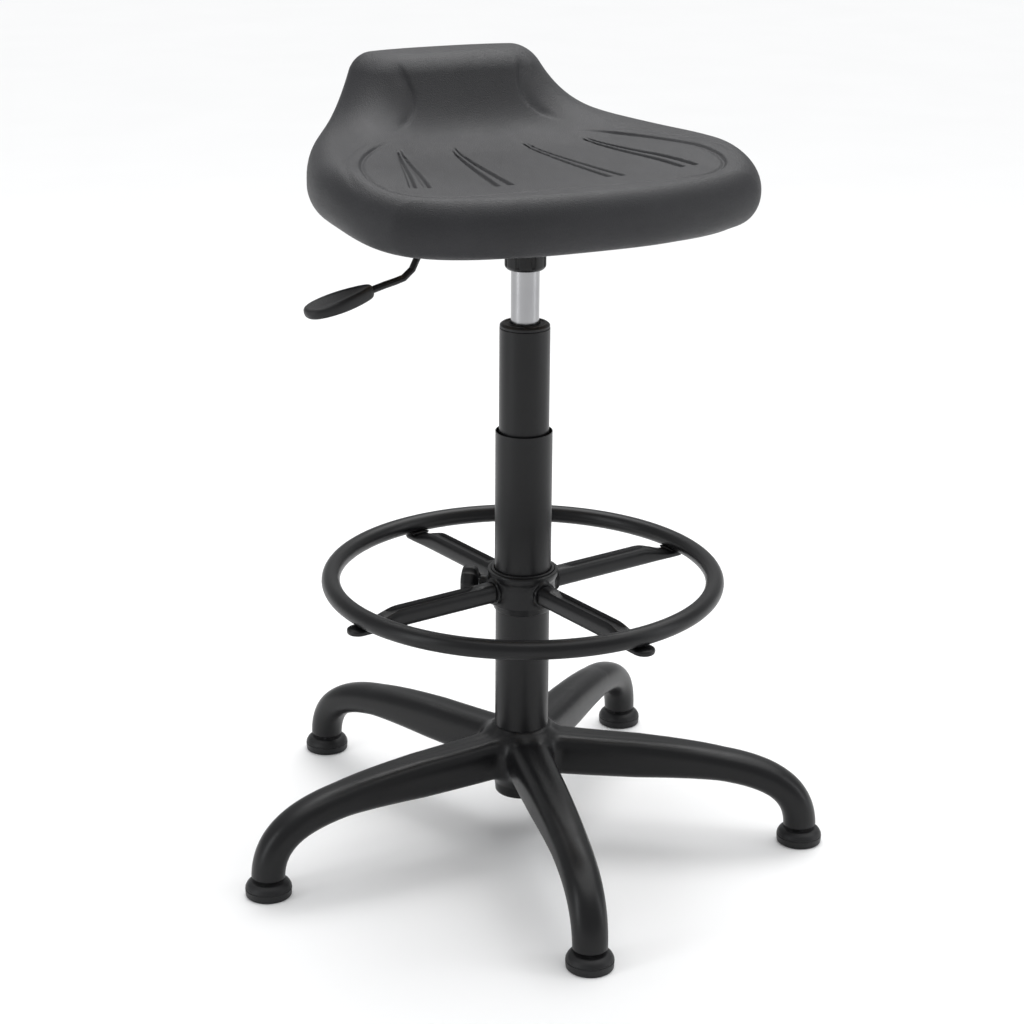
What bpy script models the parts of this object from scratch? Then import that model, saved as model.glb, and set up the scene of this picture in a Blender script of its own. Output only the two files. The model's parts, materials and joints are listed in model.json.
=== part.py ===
"""Drafting stool with a moulded seat, a gas column, an adjustable foot ring and a five-arm base.

Every length is in metres. +Z is up, the origin is where the column's axis meets the floor, and the sitter
faces -Y. Touching pieces keep a gap of GAP between them.
"""

import math

import bmesh
import bpy
import numpy as np
from mathutils import Matrix, Vector

GAP = 0.0003

# Base: one cast star of five arms that ends in a socket over each glide.
ARM_COUNT = 5
ARM_FIRST_ANGLE = math.radians(-102.9)
GLIDE_CIRCLE_RADIUS = 0.291
ARM_START = (0.020, 0.0918)
ARM_PULL = (0.160, 0.0830)
ARM_SHOULDER = (0.291, 0.1030)
ARM_END_Z = 0.0165
ARM_HALF_WIDTHS = (0.0225, 0.0205, 0.0185, 0.0180, 0.0168)
ARM_HALF_HEIGHTS = (0.0225, 0.0215, 0.0150, 0.0150, 0.0168)
ARM_STATIONS = 14
ARM_SIDES = 12
HUB_BOTTOM_Z = 0.044
HUB_TOP_Z = 0.1176
HUB_BORE_TOP_R = 0.0256
HUB_BORE_BOTTOM_R = 0.0238

# Glides: a moulded foot that turns on a stem pressed into the arm's socket.
GLIDE_R = 0.0232
GLIDE_RIM_Z = 0.0085
GLIDE_TOP_Z = 0.0158
STEM_R = 0.0050
STEM_FOOT_Z = 0.0045
STEM_TOP_Z = 0.0340

# Column.
TUBE_R = 0.0250
TUBE_INNER_R = 0.0232
TUBE_TAPER_R = 0.0234
TUBE_TAPER_Z = 0.110
TUBE_BOTTOM_Z = 0.050
TUBE_TOP_Z = 0.5422
TUBE_FLOOR = 0.003
CAP_TOP_Z = 0.5468
CAP_BUSH_BOTTOM_Z = 0.465
STAND_TUBE_R = 0.0274
STAND_TUBE_INNER_R = 0.0254
STAND_TUBE_TOP_Z = 0.430
SLEEVE_R = 0.0285
SLEEVE_INNER_R = 0.0277
SLEEVE_BOTTOM_Z = 0.2620
SLEEVE_TOP_Z = 0.4366

# Gas spring: the cylinder rises with the seat, and its rod stays on the thrust bearing below.
CYLINDER_R = 0.0140
CYLINDER_BORE_R = 0.0122
CYLINDER_BOTTOM_Z = 0.2620
CYLINDER_TAPER_Z = 0.6000
CYLINDER_TOP_R = 0.0130
CYLINDER_TOP_Z = 0.6370
ROD_R = 0.0050
ROD_NECK_R = 0.0038
ROD_BOTTOM_Z = 0.0465
PISTON_Z = (0.4870, 0.5030)
PIN_R = 0.0035
PIN_TOP_Z = 0.6428

# Foot ring.
RING_Z = 0.282
RING_R = 0.194
RING_TUBE_R = 0.0093
SPOKE_ANGLES = [math.radians(a) for a in (10.0, 100.0, 190.0, 280.0)]
SPOKE_Z = 0.2725
SPOKE_START_R = 0.0392
SPOKE_END_R = 0.2075
COLLAR_BOTTOM_Z = 0.2484
COLLAR_TOP_Z = 0.2912
LINER_R = 0.0320
LINER_BOTTOM_Z = 0.2800
LINER_TOP_Z = 0.2925
KNOB_ANGLE = math.radians(145.0)
KNOB_R = 0.0175
# Places along the clamp screw, and the knob's share of its full radius there.
KNOB_PROFILE = ((0.0445, 0.55), (0.0460, 0.62), (0.0475, 0.94), (0.0500, 1.0), (0.0600, 1.0), (0.0630, 0.90))

# Seat and mechanism.
SEAT_UNDERSIDE_Z = 0.6600
SOCKET_R = 0.0203
SOCKET_BOTTOM_Z = 0.6056
PLATE_THICKNESS = 0.0025
PLATE_HALF_SIZE = (0.080, 0.070)
PLATE_DISH_R = 0.056
PLATE_DISH_Z = 0.6390
BOARD_HALF_SIZE = (0.140, 0.120)
BOARD_CENTRE_Y = -0.005
BOARD_THICKNESS = 0.0110
SCREW_X = 0.066
SCREW_Y = 0.056
SCREW_R = 0.0039
NUT_BARREL_R = 0.0054
NUT_FLANGE_R = 0.0090
LEVER_PIVOT = Vector((-0.030, 0.0, 0.6465))
LEVER_ROD_R = 0.0034
LEVER_ROUTE = [
    (0.0020, 0.0, 0.6465),
    (-0.0300, 0.0, 0.6465),
    (-0.0620, 0.0, 0.6450),
    (-0.0900, -0.0120, 0.6425),
    (-0.1150, -0.0240, 0.6390),
    (-0.1255, -0.0290, 0.6300),
    (-0.1320, -0.0305, 0.6185),
    (-0.1410, -0.0315, 0.6115),
    (-0.1600, -0.0325, 0.6070),
    (-0.1920, -0.0345, 0.5990),
]
SEAT_FRONT_Y = -0.160
SEAT_BACK_Y = 0.223
SEAT_WIDEST = 0.217
SEAT_NARROWEST = 0.144
SEAT_NARROWS_Y = (-0.020, 0.240)
SEAT_FRONT_TUCK = 0.034
SEAT_FRONT_TUCK_Y = (-0.165, -0.115)
SEAT_SIDE_POWER = 2.8
SEAT_END_POWER = 4.4
SEAT_RIM_Z = 0.660
SEAT_PANEL_Z = 0.703
SEAT_CREST_Z = 0.787
SEAT_EDGE_R = 0.027
SEAT_CREST_R = 0.017
SEAT_FRONT_EASE = 1.3
SEAT_FRONT_DROP = 0.002
SEAT_SIDE_LIP = 0.015
SEAT_UNDER_DROP = 0.017
UNDERSIDE_SHARES = (0.72, 0.40)
SEAT_RISE_START = (0.118, 0.150)
SEAT_RISE_SLOPE = (2.1, 0.08)
SEAT_RISE_BEND = (0.026, 0.096)
PADDLE_TILT = math.radians(13.0)
PADDLE_LENGTH = 0.070
PADDLE_THICKNESS = 0.0120


def material(name, colour, roughness, metallic=0.0):
    """A Principled material, made once and shared by name."""
    found = bpy.data.materials.get(name)
    if found:
        return found
    made = bpy.data.materials.new(name)
    made.use_nodes = True
    shader = made.node_tree.nodes["Principled BSDF"]
    shader.inputs["Base Color"].default_value = (*colour, 1.0)
    shader.inputs["Roughness"].default_value = roughness
    shader.inputs["Metallic"].default_value = metallic
    made.diffuse_color = (*colour, 1.0)
    return made


def black_enamel():
    return material("black_enamel", (0.022, 0.022, 0.024), 0.42)


def black_plastic():
    return material("black_plastic", (0.030, 0.030, 0.032), 0.50)


def seat_foam():
    return material("seat_foam", (0.050, 0.050, 0.055), 0.55)


def ground_steel():
    return material("ground_steel", (0.62, 0.62, 0.63), 0.25, 1.0)


def zinc_steel():
    return material("zinc_steel", (0.50, 0.50, 0.51), 0.35, 1.0)


def birch_board():
    return material("birch_board", (0.33, 0.22, 0.12), 0.70)


def add_object(name, mesh, look, parent=None, location=(0.0, 0.0, 0.0), turn=0.0):
    """Links one named piece to the scene, placed by its location and its turn about Z."""
    made = bpy.data.objects.new(name, mesh)
    mesh.materials.append(look)
    made.location = location
    made.rotation_euler = (0.0, 0.0, turn)
    made.parent = parent
    bpy.context.scene.collection.objects.link(made)
    return made


def add_pivot(name, location, parent=None, turn=0.0):
    """An empty on a joint's axis that carries the pieces that move with it."""
    made = bpy.data.objects.new(name, None)
    made.empty_display_size = 0.03
    made.location = location
    made.rotation_euler = (0.0, 0.0, turn)
    made.parent = parent
    bpy.context.scene.collection.objects.link(made)
    return made


def finish_mesh(name, shape, smooth_angle=40.0):
    """Turns a bmesh into a mesh with its faces outwards and its round sides shaded smooth."""
    bmesh.ops.remove_doubles(shape, verts=shape.verts, dist=1e-6)
    bmesh.ops.recalc_face_normals(shape, faces=shape.faces)
    mesh = bpy.data.meshes.new(name)
    shape.to_mesh(mesh)
    shape.free()
    mesh.shade_smooth()
    mesh.set_sharp_from_angle(angle=math.radians(smooth_angle))
    return mesh


def turned_mesh(name, profile, steps=24, smooth_angle=40.0):
    """Spins a closed outline of (radius, height) points once round Z."""
    shape = bmesh.new()
    points = [shape.verts.new((radius, 0.0, height)) for radius, height in profile]
    edges = [shape.edges.new((a, b)) for a, b in zip(points, points[1:] + points[:1])]
    bmesh.ops.spin(
        shape, geom=points + edges, cent=(0, 0, 0), axis=(0, 0, 1), angle=math.tau, steps=steps, use_merge=True
    )
    bmesh.ops.dissolve_degenerate(shape, dist=1e-7, edges=shape.edges)
    return finish_mesh(name, shape, smooth_angle)


def turned(name, profile, look, steps=24, **place):
    return add_object(name, turned_mesh(name, profile, steps), look, **place)


def lofted_mesh(name, rings, closed=False, smooth_angle=40.0):
    """Joins equal rings of points side by side, and caps both ends unless the rings close on themselves."""
    shape = bmesh.new()
    loops = [[shape.verts.new(point) for point in ring] for ring in rings]
    count = len(loops[0])
    pairs = list(zip(loops, loops[1:]))
    if closed:
        pairs.append((loops[-1], loops[0]))
    for first, second in pairs:
        for i in range(count):
            j = (i + 1) % count
            shape.faces.new((first[i], first[j], second[j], second[i]))
    if not closed:
        shape.faces.new(loops[0])
        shape.faces.new(loops[-1])
    return finish_mesh(name, shape, smooth_angle)


def oval_ring(centre, side, up, half_width, half_height, count, power=2.4):
    """A superellipse round a centre, in the plane of two unit directions."""
    ring = []
    for i in range(count):
        angle = math.tau * (i + 0.5) / count
        across = math.copysign(abs(math.cos(angle)) ** (2.0 / power), math.cos(angle))
        above = math.copysign(abs(math.sin(angle)) ** (2.0 / power), math.sin(angle))
        ring.append(centre + side * across * half_width + up * above * half_height)
    return ring


def cut(piece, cutters, operation="DIFFERENCE"):
    """Applies exact Booleans to a piece at once, and removes the shapes that it was cut or joined with."""
    for cutter in cutters:
        step = piece.modifiers.new("boolean", "BOOLEAN")
        step.operation = operation
        step.solver = "EXACT"
        step.object = cutter
        bpy.context.view_layer.update()
        result = bpy.data.meshes.new_from_object(piece.evaluated_get(bpy.context.evaluated_depsgraph_get()))
        piece.modifiers.remove(step)
        old = piece.data
        result.name = old.name
        piece.data = result
        bpy.data.meshes.remove(old)
        bpy.data.objects.remove(cutter)
    piece.data.shade_smooth()
    piece.data.set_sharp_from_angle(angle=math.radians(40.0))
    return piece


def join(piece, others):
    return cut(piece, others, "UNION")


def drum(name, radius, start, end, steps=24):
    """A plain cylinder between two points, used to cut or to join."""
    start, end = Vector(start), Vector(end)
    shape = bmesh.new()
    turn = (end - start).to_track_quat("Z", "Y").to_matrix().to_4x4()
    place = Matrix.Translation((start + end) / 2) @ turn
    bmesh.ops.create_cone(
        shape, cap_ends=True, segments=steps, radius1=radius, radius2=radius, depth=(end - start).length, matrix=place
    )
    return add_object(name, finish_mesh(name, shape), black_enamel())


def block(name, low, high):
    """A plain box between two corners, used to cut or to join."""
    low, high = Vector(low), Vector(high)
    shape = bmesh.new()
    size = Matrix.Diagonal((*(high - low), 1.0))
    bmesh.ops.create_cube(shape, size=1.0, matrix=Matrix.Translation((low + high) / 2) @ size)
    return add_object(name, finish_mesh(name, shape), black_enamel())


def bezier(points, t):
    """A point on a Bezier curve of any degree."""
    degree = len(points) - 1
    total = np.zeros(len(points[0]))
    for i, point in enumerate(points):
        total += math.comb(degree, i) * t**i * (1 - t) ** (degree - i) * np.array(point, float)
    return total


def blend_values(values, t):
    """A smooth value along a list of evenly spaced ones."""
    place = min(max(t, 0.0), 1.0) * (len(values) - 1)
    index = min(int(place), len(values) - 2)
    share = place - index
    share = share * share * (3 - 2 * share)
    return values[index] + (values[index + 1] - values[index]) * share


# --- base ---------------------------------------------------------------------------------------


def arm_mesh(name):
    """One arm along +X: an oval section carried down a curve that ends upright over the glide."""
    route = [ARM_START, ARM_PULL, ARM_SHOULDER, (GLIDE_CIRCLE_RADIUS, ARM_END_Z)]
    rings = []
    for i in range(ARM_STATIONS):
        t = i / (ARM_STATIONS - 1)
        x, z = bezier(route, t)
        ahead = bezier(route, min(t + 0.01, 1.0)) - bezier(route, max(t - 0.01, 0.0))
        along = Vector((ahead[0], 0.0, ahead[1])).normalized()
        side = Vector((0.0, 1.0, 0.0))
        up = along.cross(side)
        if up.z < 0:
            up.negate()
        if i == ARM_STATIONS - 1:
            up = Vector((1.0, 0.0, 0.0))
        width = blend_values(ARM_HALF_WIDTHS, t)
        height = blend_values(ARM_HALF_HEIGHTS, t)
        power = blend_values((3.0, 2.8, 2.5, 2.2, 2.0), t)
        rings.append(oval_ring(Vector((x, 0.0, z)), side, up, width, height, ARM_SIDES, power))
    return lofted_mesh(name, rings)


def arm_angle(index):
    return ARM_FIRST_ANGLE + math.tau * index / ARM_COUNT


def build_base():
    """The cast star, with its tapered bore for the column and a hole for each glide's stem."""
    hub = [
        (0.012, HUB_BOTTOM_Z),
        (0.0262, HUB_BOTTOM_Z),
        (0.0275, HUB_BOTTOM_Z + 0.003),
        (0.0280, 0.056),
        (0.0335, 0.060),
        (0.0375, 0.075),
        (0.0375, 0.098),
        (0.0330, 0.108),
        (0.0288, HUB_TOP_Z),
        (0.012, HUB_TOP_Z),
    ]
    base = turned("base_star", hub, black_enamel())
    arms = []
    for i in range(ARM_COUNT):
        arms.append(add_object(f"arm_{i}", arm_mesh("arm"), black_enamel(), turn=arm_angle(i)))
    join(base, arms)
    bore = [
        (0.0, HUB_BOTTOM_Z - 0.005),
        (HUB_BORE_BOTTOM_R, HUB_BOTTOM_Z - 0.005),
        (HUB_BORE_BOTTOM_R, TUBE_BOTTOM_Z),
        (HUB_BORE_TOP_R, TUBE_TAPER_Z),
        (HUB_BORE_TOP_R, HUB_TOP_Z + 0.005),
        (0.0, HUB_TOP_Z + 0.005),
    ]
    cutters = [turned("bore", bore, black_enamel())]
    for i in range(ARM_COUNT):
        centre = Vector((math.cos(arm_angle(i)), math.sin(arm_angle(i)), 0.0)) * GLIDE_CIRCLE_RADIUS
        foot = centre + Vector((0, 0, ARM_END_Z - 0.010))
        top = centre + Vector((0, 0, STEM_TOP_Z + 0.001))
        cutters.append(drum(f"stem_hole_{i}", STEM_R + GAP, foot, top, 16))
    return cut(base, cutters)


def build_glides():
    """Five glides: a steel stem fixed in the arm, and a moulded foot that turns on it."""
    foot = [
        (STEM_R + 0.0035, 0.0),
        (GLIDE_R - 0.0012, 0.0),
        (GLIDE_R, 0.0012),
        (GLIDE_R, GLIDE_RIM_Z - 0.001),
        (GLIDE_R - 0.0010, GLIDE_RIM_Z),
        (GLIDE_R - 0.0022, GLIDE_RIM_Z + 0.0028),
        (GLIDE_R - 0.0050, GLIDE_TOP_Z - 0.0012),
        (GLIDE_R - 0.0072, GLIDE_TOP_Z),
        (STEM_R + GAP, GLIDE_TOP_Z),
        (STEM_R + GAP, STEM_FOOT_Z + 0.004),
        (STEM_R + 0.0035, STEM_FOOT_Z + 0.004),
    ]
    stem = [
        (0.0, STEM_FOOT_Z),
        (STEM_R + 0.0030, STEM_FOOT_Z),
        (STEM_R + 0.0030, STEM_FOOT_Z + 0.0036),
        (STEM_R, STEM_FOOT_Z + 0.0036),
        (STEM_R, STEM_TOP_Z - 0.001),
        (STEM_R - 0.001, STEM_TOP_Z),
        (0.0, STEM_TOP_Z),
    ]
    for i in range(ARM_COUNT):
        centre = Vector((math.cos(arm_angle(i)), math.sin(arm_angle(i)), 0.0)) * GLIDE_CIRCLE_RADIUS
        turned(f"glide_stem_{i + 1}", stem, zinc_steel(), steps=12, location=centre)
        pivot = add_pivot(f"glide_pivot_{i + 1}", centre)
        turned(f"glide_foot_{i + 1}", foot, black_plastic(), parent=pivot)


# --- column -------------------------------------------------------------------------------------


def build_column():
    """The outer tube wedged in the hub, its guide bush, the stand tube round it and the thrust bearing."""
    tube = [
        (TUBE_R, TUBE_TOP_Z - GAP),
        (TUBE_R, TUBE_TAPER_Z),
        (TUBE_TAPER_R, TUBE_BOTTOM_Z),
        (ROD_NECK_R + GAP, TUBE_BOTTOM_Z),
        (ROD_NECK_R + GAP, TUBE_BOTTOM_Z + TUBE_FLOOR),
        (TUBE_TAPER_R - 0.0018, TUBE_BOTTOM_Z + TUBE_FLOOR),
        (TUBE_INNER_R, TUBE_TAPER_Z),
        (TUBE_INNER_R, TUBE_TOP_Z - GAP),
    ]
    turned("outer_tube", tube, black_enamel())
    bush = [
        (TUBE_R - 0.0003, TUBE_TOP_Z),
        (TUBE_R - 0.0003, CAP_TOP_Z - 0.0018),
        (TUBE_R - 0.0022, CAP_TOP_Z),
        (CYLINDER_R + 0.0018, CAP_TOP_Z),
        (CYLINDER_R + GAP, CAP_TOP_Z - 0.0025),
        (CYLINDER_R + GAP, CAP_BUSH_BOTTOM_Z),
        (TUBE_INNER_R - GAP, CAP_BUSH_BOTTOM_Z),
        (TUBE_INNER_R - GAP, TUBE_TOP_Z),
    ]
    turned("guide_bush", bush, black_plastic())
    stand = [
        (STAND_TUBE_R, HUB_TOP_Z + GAP),
        (STAND_TUBE_R, STAND_TUBE_TOP_Z),
        (STAND_TUBE_INNER_R, STAND_TUBE_TOP_Z),
        (STAND_TUBE_INNER_R, HUB_TOP_Z + GAP),
    ]
    turned("stand_tube", stand, black_enamel())
    low = TUBE_BOTTOM_Z + TUBE_FLOOR + GAP
    lower_race = [(ROD_R + GAP, low), (0.0125, low), (0.0125, low + 0.0020), (ROD_R + GAP, low + 0.0020)]
    turned("bearing_lower_race", lower_race, zinc_steel(), steps=16)


def build_piston_rod():
    """The rod, its piston, the upper bearing race and the clip: they turn with the seat."""
    race = TUBE_BOTTOM_Z + TUBE_FLOOR + GAP + 0.0020
    cage = [(0.0062, race + GAP), (0.0118, race + GAP), (0.0118, race + 0.0028), (0.0062, race + 0.0028)]
    turned("bearing_cage", cage, zinc_steel(), steps=16)
    top = race + 0.0028 + GAP
    upper = [(ROD_NECK_R + GAP, top), (0.0125, top), (0.0125, top + 0.0020), (ROD_NECK_R + GAP, top + 0.0020)]
    turned("bearing_upper_race", upper, zinc_steel(), steps=16)
    shoulder = top + 0.0020 + GAP
    rod = [
        (0.0, ROD_BOTTOM_Z),
        (ROD_NECK_R, ROD_BOTTOM_Z),
        (ROD_NECK_R, shoulder),
        (ROD_R, shoulder),
        (ROD_R, PISTON_Z[0] - GAP),
        (ROD_NECK_R, PISTON_Z[0] - GAP),
        (ROD_NECK_R, PISTON_Z[1] + 0.002),
        (0.0, PISTON_Z[1] + 0.002),
    ]
    turned("piston_rod", rod, ground_steel(), steps=14)
    head = [
        (ROD_NECK_R + GAP, PISTON_Z[0]),
        (CYLINDER_BORE_R - GAP, PISTON_Z[0]),
        (CYLINDER_BORE_R - GAP, PISTON_Z[0] + 0.006),
        (CYLINDER_BORE_R - 0.0020, PISTON_Z[0] + 0.007),
        (CYLINDER_BORE_R - 0.0020, PISTON_Z[1] - 0.007),
        (CYLINDER_BORE_R - GAP, PISTON_Z[1] - 0.006),
        (CYLINDER_BORE_R - GAP, PISTON_Z[1]),
        (ROD_NECK_R + GAP, PISTON_Z[1]),
    ]
    turned("piston_head", head, zinc_steel(), steps=16)
    clip = [
        (ROD_NECK_R + GAP, TUBE_BOTTOM_Z - 0.0022),
        (0.0085, TUBE_BOTTOM_Z - 0.0022),
        (0.0085, TUBE_BOTTOM_Z - 0.0005),
        (ROD_NECK_R + GAP, TUBE_BOTTOM_Z - 0.0005),
    ]
    turned("retaining_clip", clip, zinc_steel(), steps=16)


def build_gas_cylinder():
    """The ground cylinder with its tapered top, the gland that seals the rod, and the release pin."""
    valve = 0.590
    cylinder = [
        (CYLINDER_R, CYLINDER_BOTTOM_Z),
        (CYLINDER_R, CYLINDER_TAPER_Z),
        (CYLINDER_TOP_R, CYLINDER_TOP_Z - 0.001),
        (CYLINDER_TOP_R - 0.001, CYLINDER_TOP_Z),
        (PIN_R + GAP, CYLINDER_TOP_Z),
        (PIN_R + GAP, valve),
        (CYLINDER_BORE_R, valve),
        (CYLINDER_BORE_R, CYLINDER_BOTTOM_Z),
    ]
    turned("gas_cylinder", cylinder, ground_steel())
    low = CYLINDER_BOTTOM_Z + 0.001
    gland = [
        (ROD_R + GAP, low),
        (CYLINDER_BORE_R - GAP, low),
        (CYLINDER_BORE_R - GAP, low + 0.020),
        (ROD_R + GAP, low + 0.020),
    ]
    turned("rod_gland", gland, black_plastic(), steps=16)
    pin = [
        (0.0, valve + 0.006),
        (PIN_R, valve + 0.006),
        (PIN_R, PIN_TOP_Z - 0.0006),
        (PIN_R - 0.0006, PIN_TOP_Z),
        (0.0, PIN_TOP_Z),
    ]
    turned("release_pin", pin, zinc_steel(), steps=16)


# --- foot ring ----------------------------------------------------------------------------------


def direction(angle):
    return Vector((math.cos(angle), math.sin(angle), 0.0))


def build_collar():
    """The cast collar with a boss for each spoke and one for the clamp screw, its liner and its sleeve."""
    outside = [
        (0.0200, COLLAR_BOTTOM_Z),
        (0.0286, COLLAR_BOTTOM_Z),
        (0.0318, 0.2545),
        (0.0326, 0.2600),
        (0.0326, 0.2760),
        (0.0345, 0.2835),
        (0.0361, 0.2890),
        (0.0357, COLLAR_TOP_Z),
        (0.0200, COLLAR_TOP_Z),
    ]
    collar = turned("collar", outside, black_enamel())
    bosses = []
    for i, angle in enumerate(SPOKE_ANGLES):
        start = direction(angle) * 0.024 + Vector((0, 0, SPOKE_Z))
        end = direction(angle) * (SPOKE_START_R - GAP) + Vector((0, 0, SPOKE_Z))
        bosses.append(drum(f"boss_{i}", 0.0130, start, end, 20))
    start = direction(KNOB_ANGLE) * 0.024 + Vector((0, 0, SPOKE_Z))
    end = direction(KNOB_ANGLE) * 0.0440 + Vector((0, 0, SPOKE_Z))
    bosses.append(drum("clamp_boss", 0.0085, start, end, 20))
    join(collar, bosses)
    bore = [
        (0.0, COLLAR_BOTTOM_Z - 0.01),
        (STAND_TUBE_R + GAP, COLLAR_BOTTOM_Z - 0.01),
        (STAND_TUBE_R + GAP, SLEEVE_BOTTOM_Z - GAP),
        (SLEEVE_R + GAP, SLEEVE_BOTTOM_Z - GAP),
        (SLEEVE_R + GAP, LINER_BOTTOM_Z),
        (LINER_R + GAP, LINER_BOTTOM_Z),
        (LINER_R + 0.0010, COLLAR_TOP_Z + 0.01),
        (0.0, COLLAR_TOP_Z + 0.01),
    ]
    tip = direction(KNOB_ANGLE) * 0.020 + Vector((0, 0, SPOKE_Z))
    tail = direction(KNOB_ANGLE) * 0.060 + Vector((0, 0, SPOKE_Z))
    screw_hole = 0.0043
    cut(collar, [turned("collar_bore", bore, black_enamel()), drum("screw_hole", screw_hole, tip, tail, 16)])
    liner = [
        (SLEEVE_R + GAP, LINER_BOTTOM_Z + GAP),
        (LINER_R, LINER_BOTTOM_Z + GAP),
        (LINER_R, LINER_TOP_Z - 0.0006),
        (LINER_R - 0.0006, LINER_TOP_Z),
        (SLEEVE_R + 0.0009, LINER_TOP_Z),
        (SLEEVE_R + GAP, LINER_TOP_Z - 0.0010),
    ]
    turned("collar_liner", liner, black_plastic())
    tube = [
        (SLEEVE_R, SLEEVE_BOTTOM_Z),
        (SLEEVE_R, SLEEVE_TOP_Z),
        (SLEEVE_INNER_R, SLEEVE_TOP_Z),
        (SLEEVE_INNER_R, SLEEVE_BOTTOM_Z),
    ]
    sleeve = turned("sleeve", tube, black_enamel())
    cut(sleeve, [drum("sleeve_hole", screw_hole, tip, tail, 16)])


def spoke_mesh(name):
    """One spoke along +X: a deep oval tube at the collar, pressed flat where it passes under the ring."""
    stations = [
        (SPOKE_START_R, SPOKE_Z, 0.0100, 0.0104),
        (0.0700, 0.2720, 0.0100, 0.0100),
        (0.1100, 0.2712, 0.0100, 0.0090),
        (0.1500, 0.2692, 0.0105, 0.0070),
        (0.1760, 0.2680, 0.0112, 0.0045),
        (0.1900, 0.2680, 0.0115, 0.0040),
        (SPOKE_END_R, 0.2680, 0.0112, 0.0040),
    ]
    side, up = Vector((0.0, 1.0, 0.0)), Vector((0.0, 0.0, 1.0))
    rings = [oval_ring(Vector((x, 0.0, z)), side, up, w, h, 12, 3.0) for x, z, w, h in stations]
    return lofted_mesh(name, rings)


def build_foot_ring():
    """The round tube and the four spokes welded under it."""
    outline = []
    for i in range(8):
        angle = math.tau * (i + 0.5) / 8
        outline.append((RING_R + RING_TUBE_R * math.cos(angle), RING_Z + RING_TUBE_R * math.sin(angle)))
    turned("foot_ring", outline, black_enamel(), steps=56)
    for i, angle in enumerate(SPOKE_ANGLES):
        add_object(f"spoke_{i + 1}", spoke_mesh("spoke"), black_enamel(), turn=angle)


def build_clamp_knob():
    """The knob with six lobes and the screw that presses on the stand tube: both turn on one axis."""
    pivot = add_pivot("clamp_pivot", (0.0, 0.0, SPOKE_Z), turn=KNOB_ANGLE)
    lie_down = Matrix.Rotation(math.radians(90.0), 4, "Y")
    screw = [(0.0, 0.0277), (0.0030, 0.0277), (0.0040, 0.0290), (0.0040, 0.0580), (0.0, 0.0580)]
    made = turned("clamp_screw", screw, zinc_steel(), steps=16, parent=pivot)
    made.data.transform(lie_down)
    rings = []
    for x, share in KNOB_PROFILE:
        ring = []
        for i in range(30):
            angle = math.tau * i / 30
            radius = KNOB_R * share * (1.0 - 0.045 * (1.0 - math.cos(6 * angle)))
            ring.append(Vector((x, radius * math.cos(angle), radius * math.sin(angle))))
        rings.append(ring)
    knob = add_object("clamp_knob", lofted_mesh("clamp_knob", rings), black_plastic())
    cut(knob, [drum("knob_hole", 0.0043, (0.040, 0, 0), (0.0584, 0, 0), 16)])
    knob.parent = pivot


# --- mechanism ----------------------------------------------------------------------------------


def rounded_plate(name, half_x, half_y, corner, low, high, centre_y=0.0):
    """A flat plate with round corners."""
    ring = []
    for quarter, (sx, sy) in enumerate(((1, 1), (-1, 1), (-1, -1), (1, -1))):
        for i in range(6):
            angle = math.radians(90.0 * quarter + 90.0 * i / 5)
            x = sx * (half_x - corner) + corner * math.cos(angle)
            y = sy * (half_y - corner) + corner * math.sin(angle)
            ring.append(Vector((x, y + centre_y, 0.0)))
    rings = [[p + Vector((0, 0, low)) for p in ring], [p + Vector((0, 0, high)) for p in ring]]
    return lofted_mesh(name, rings)


def screw_places():
    return [(sx * SCREW_X, sy * SCREW_Y) for sx in (-1, 1) for sy in (-1, 1)]


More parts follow.
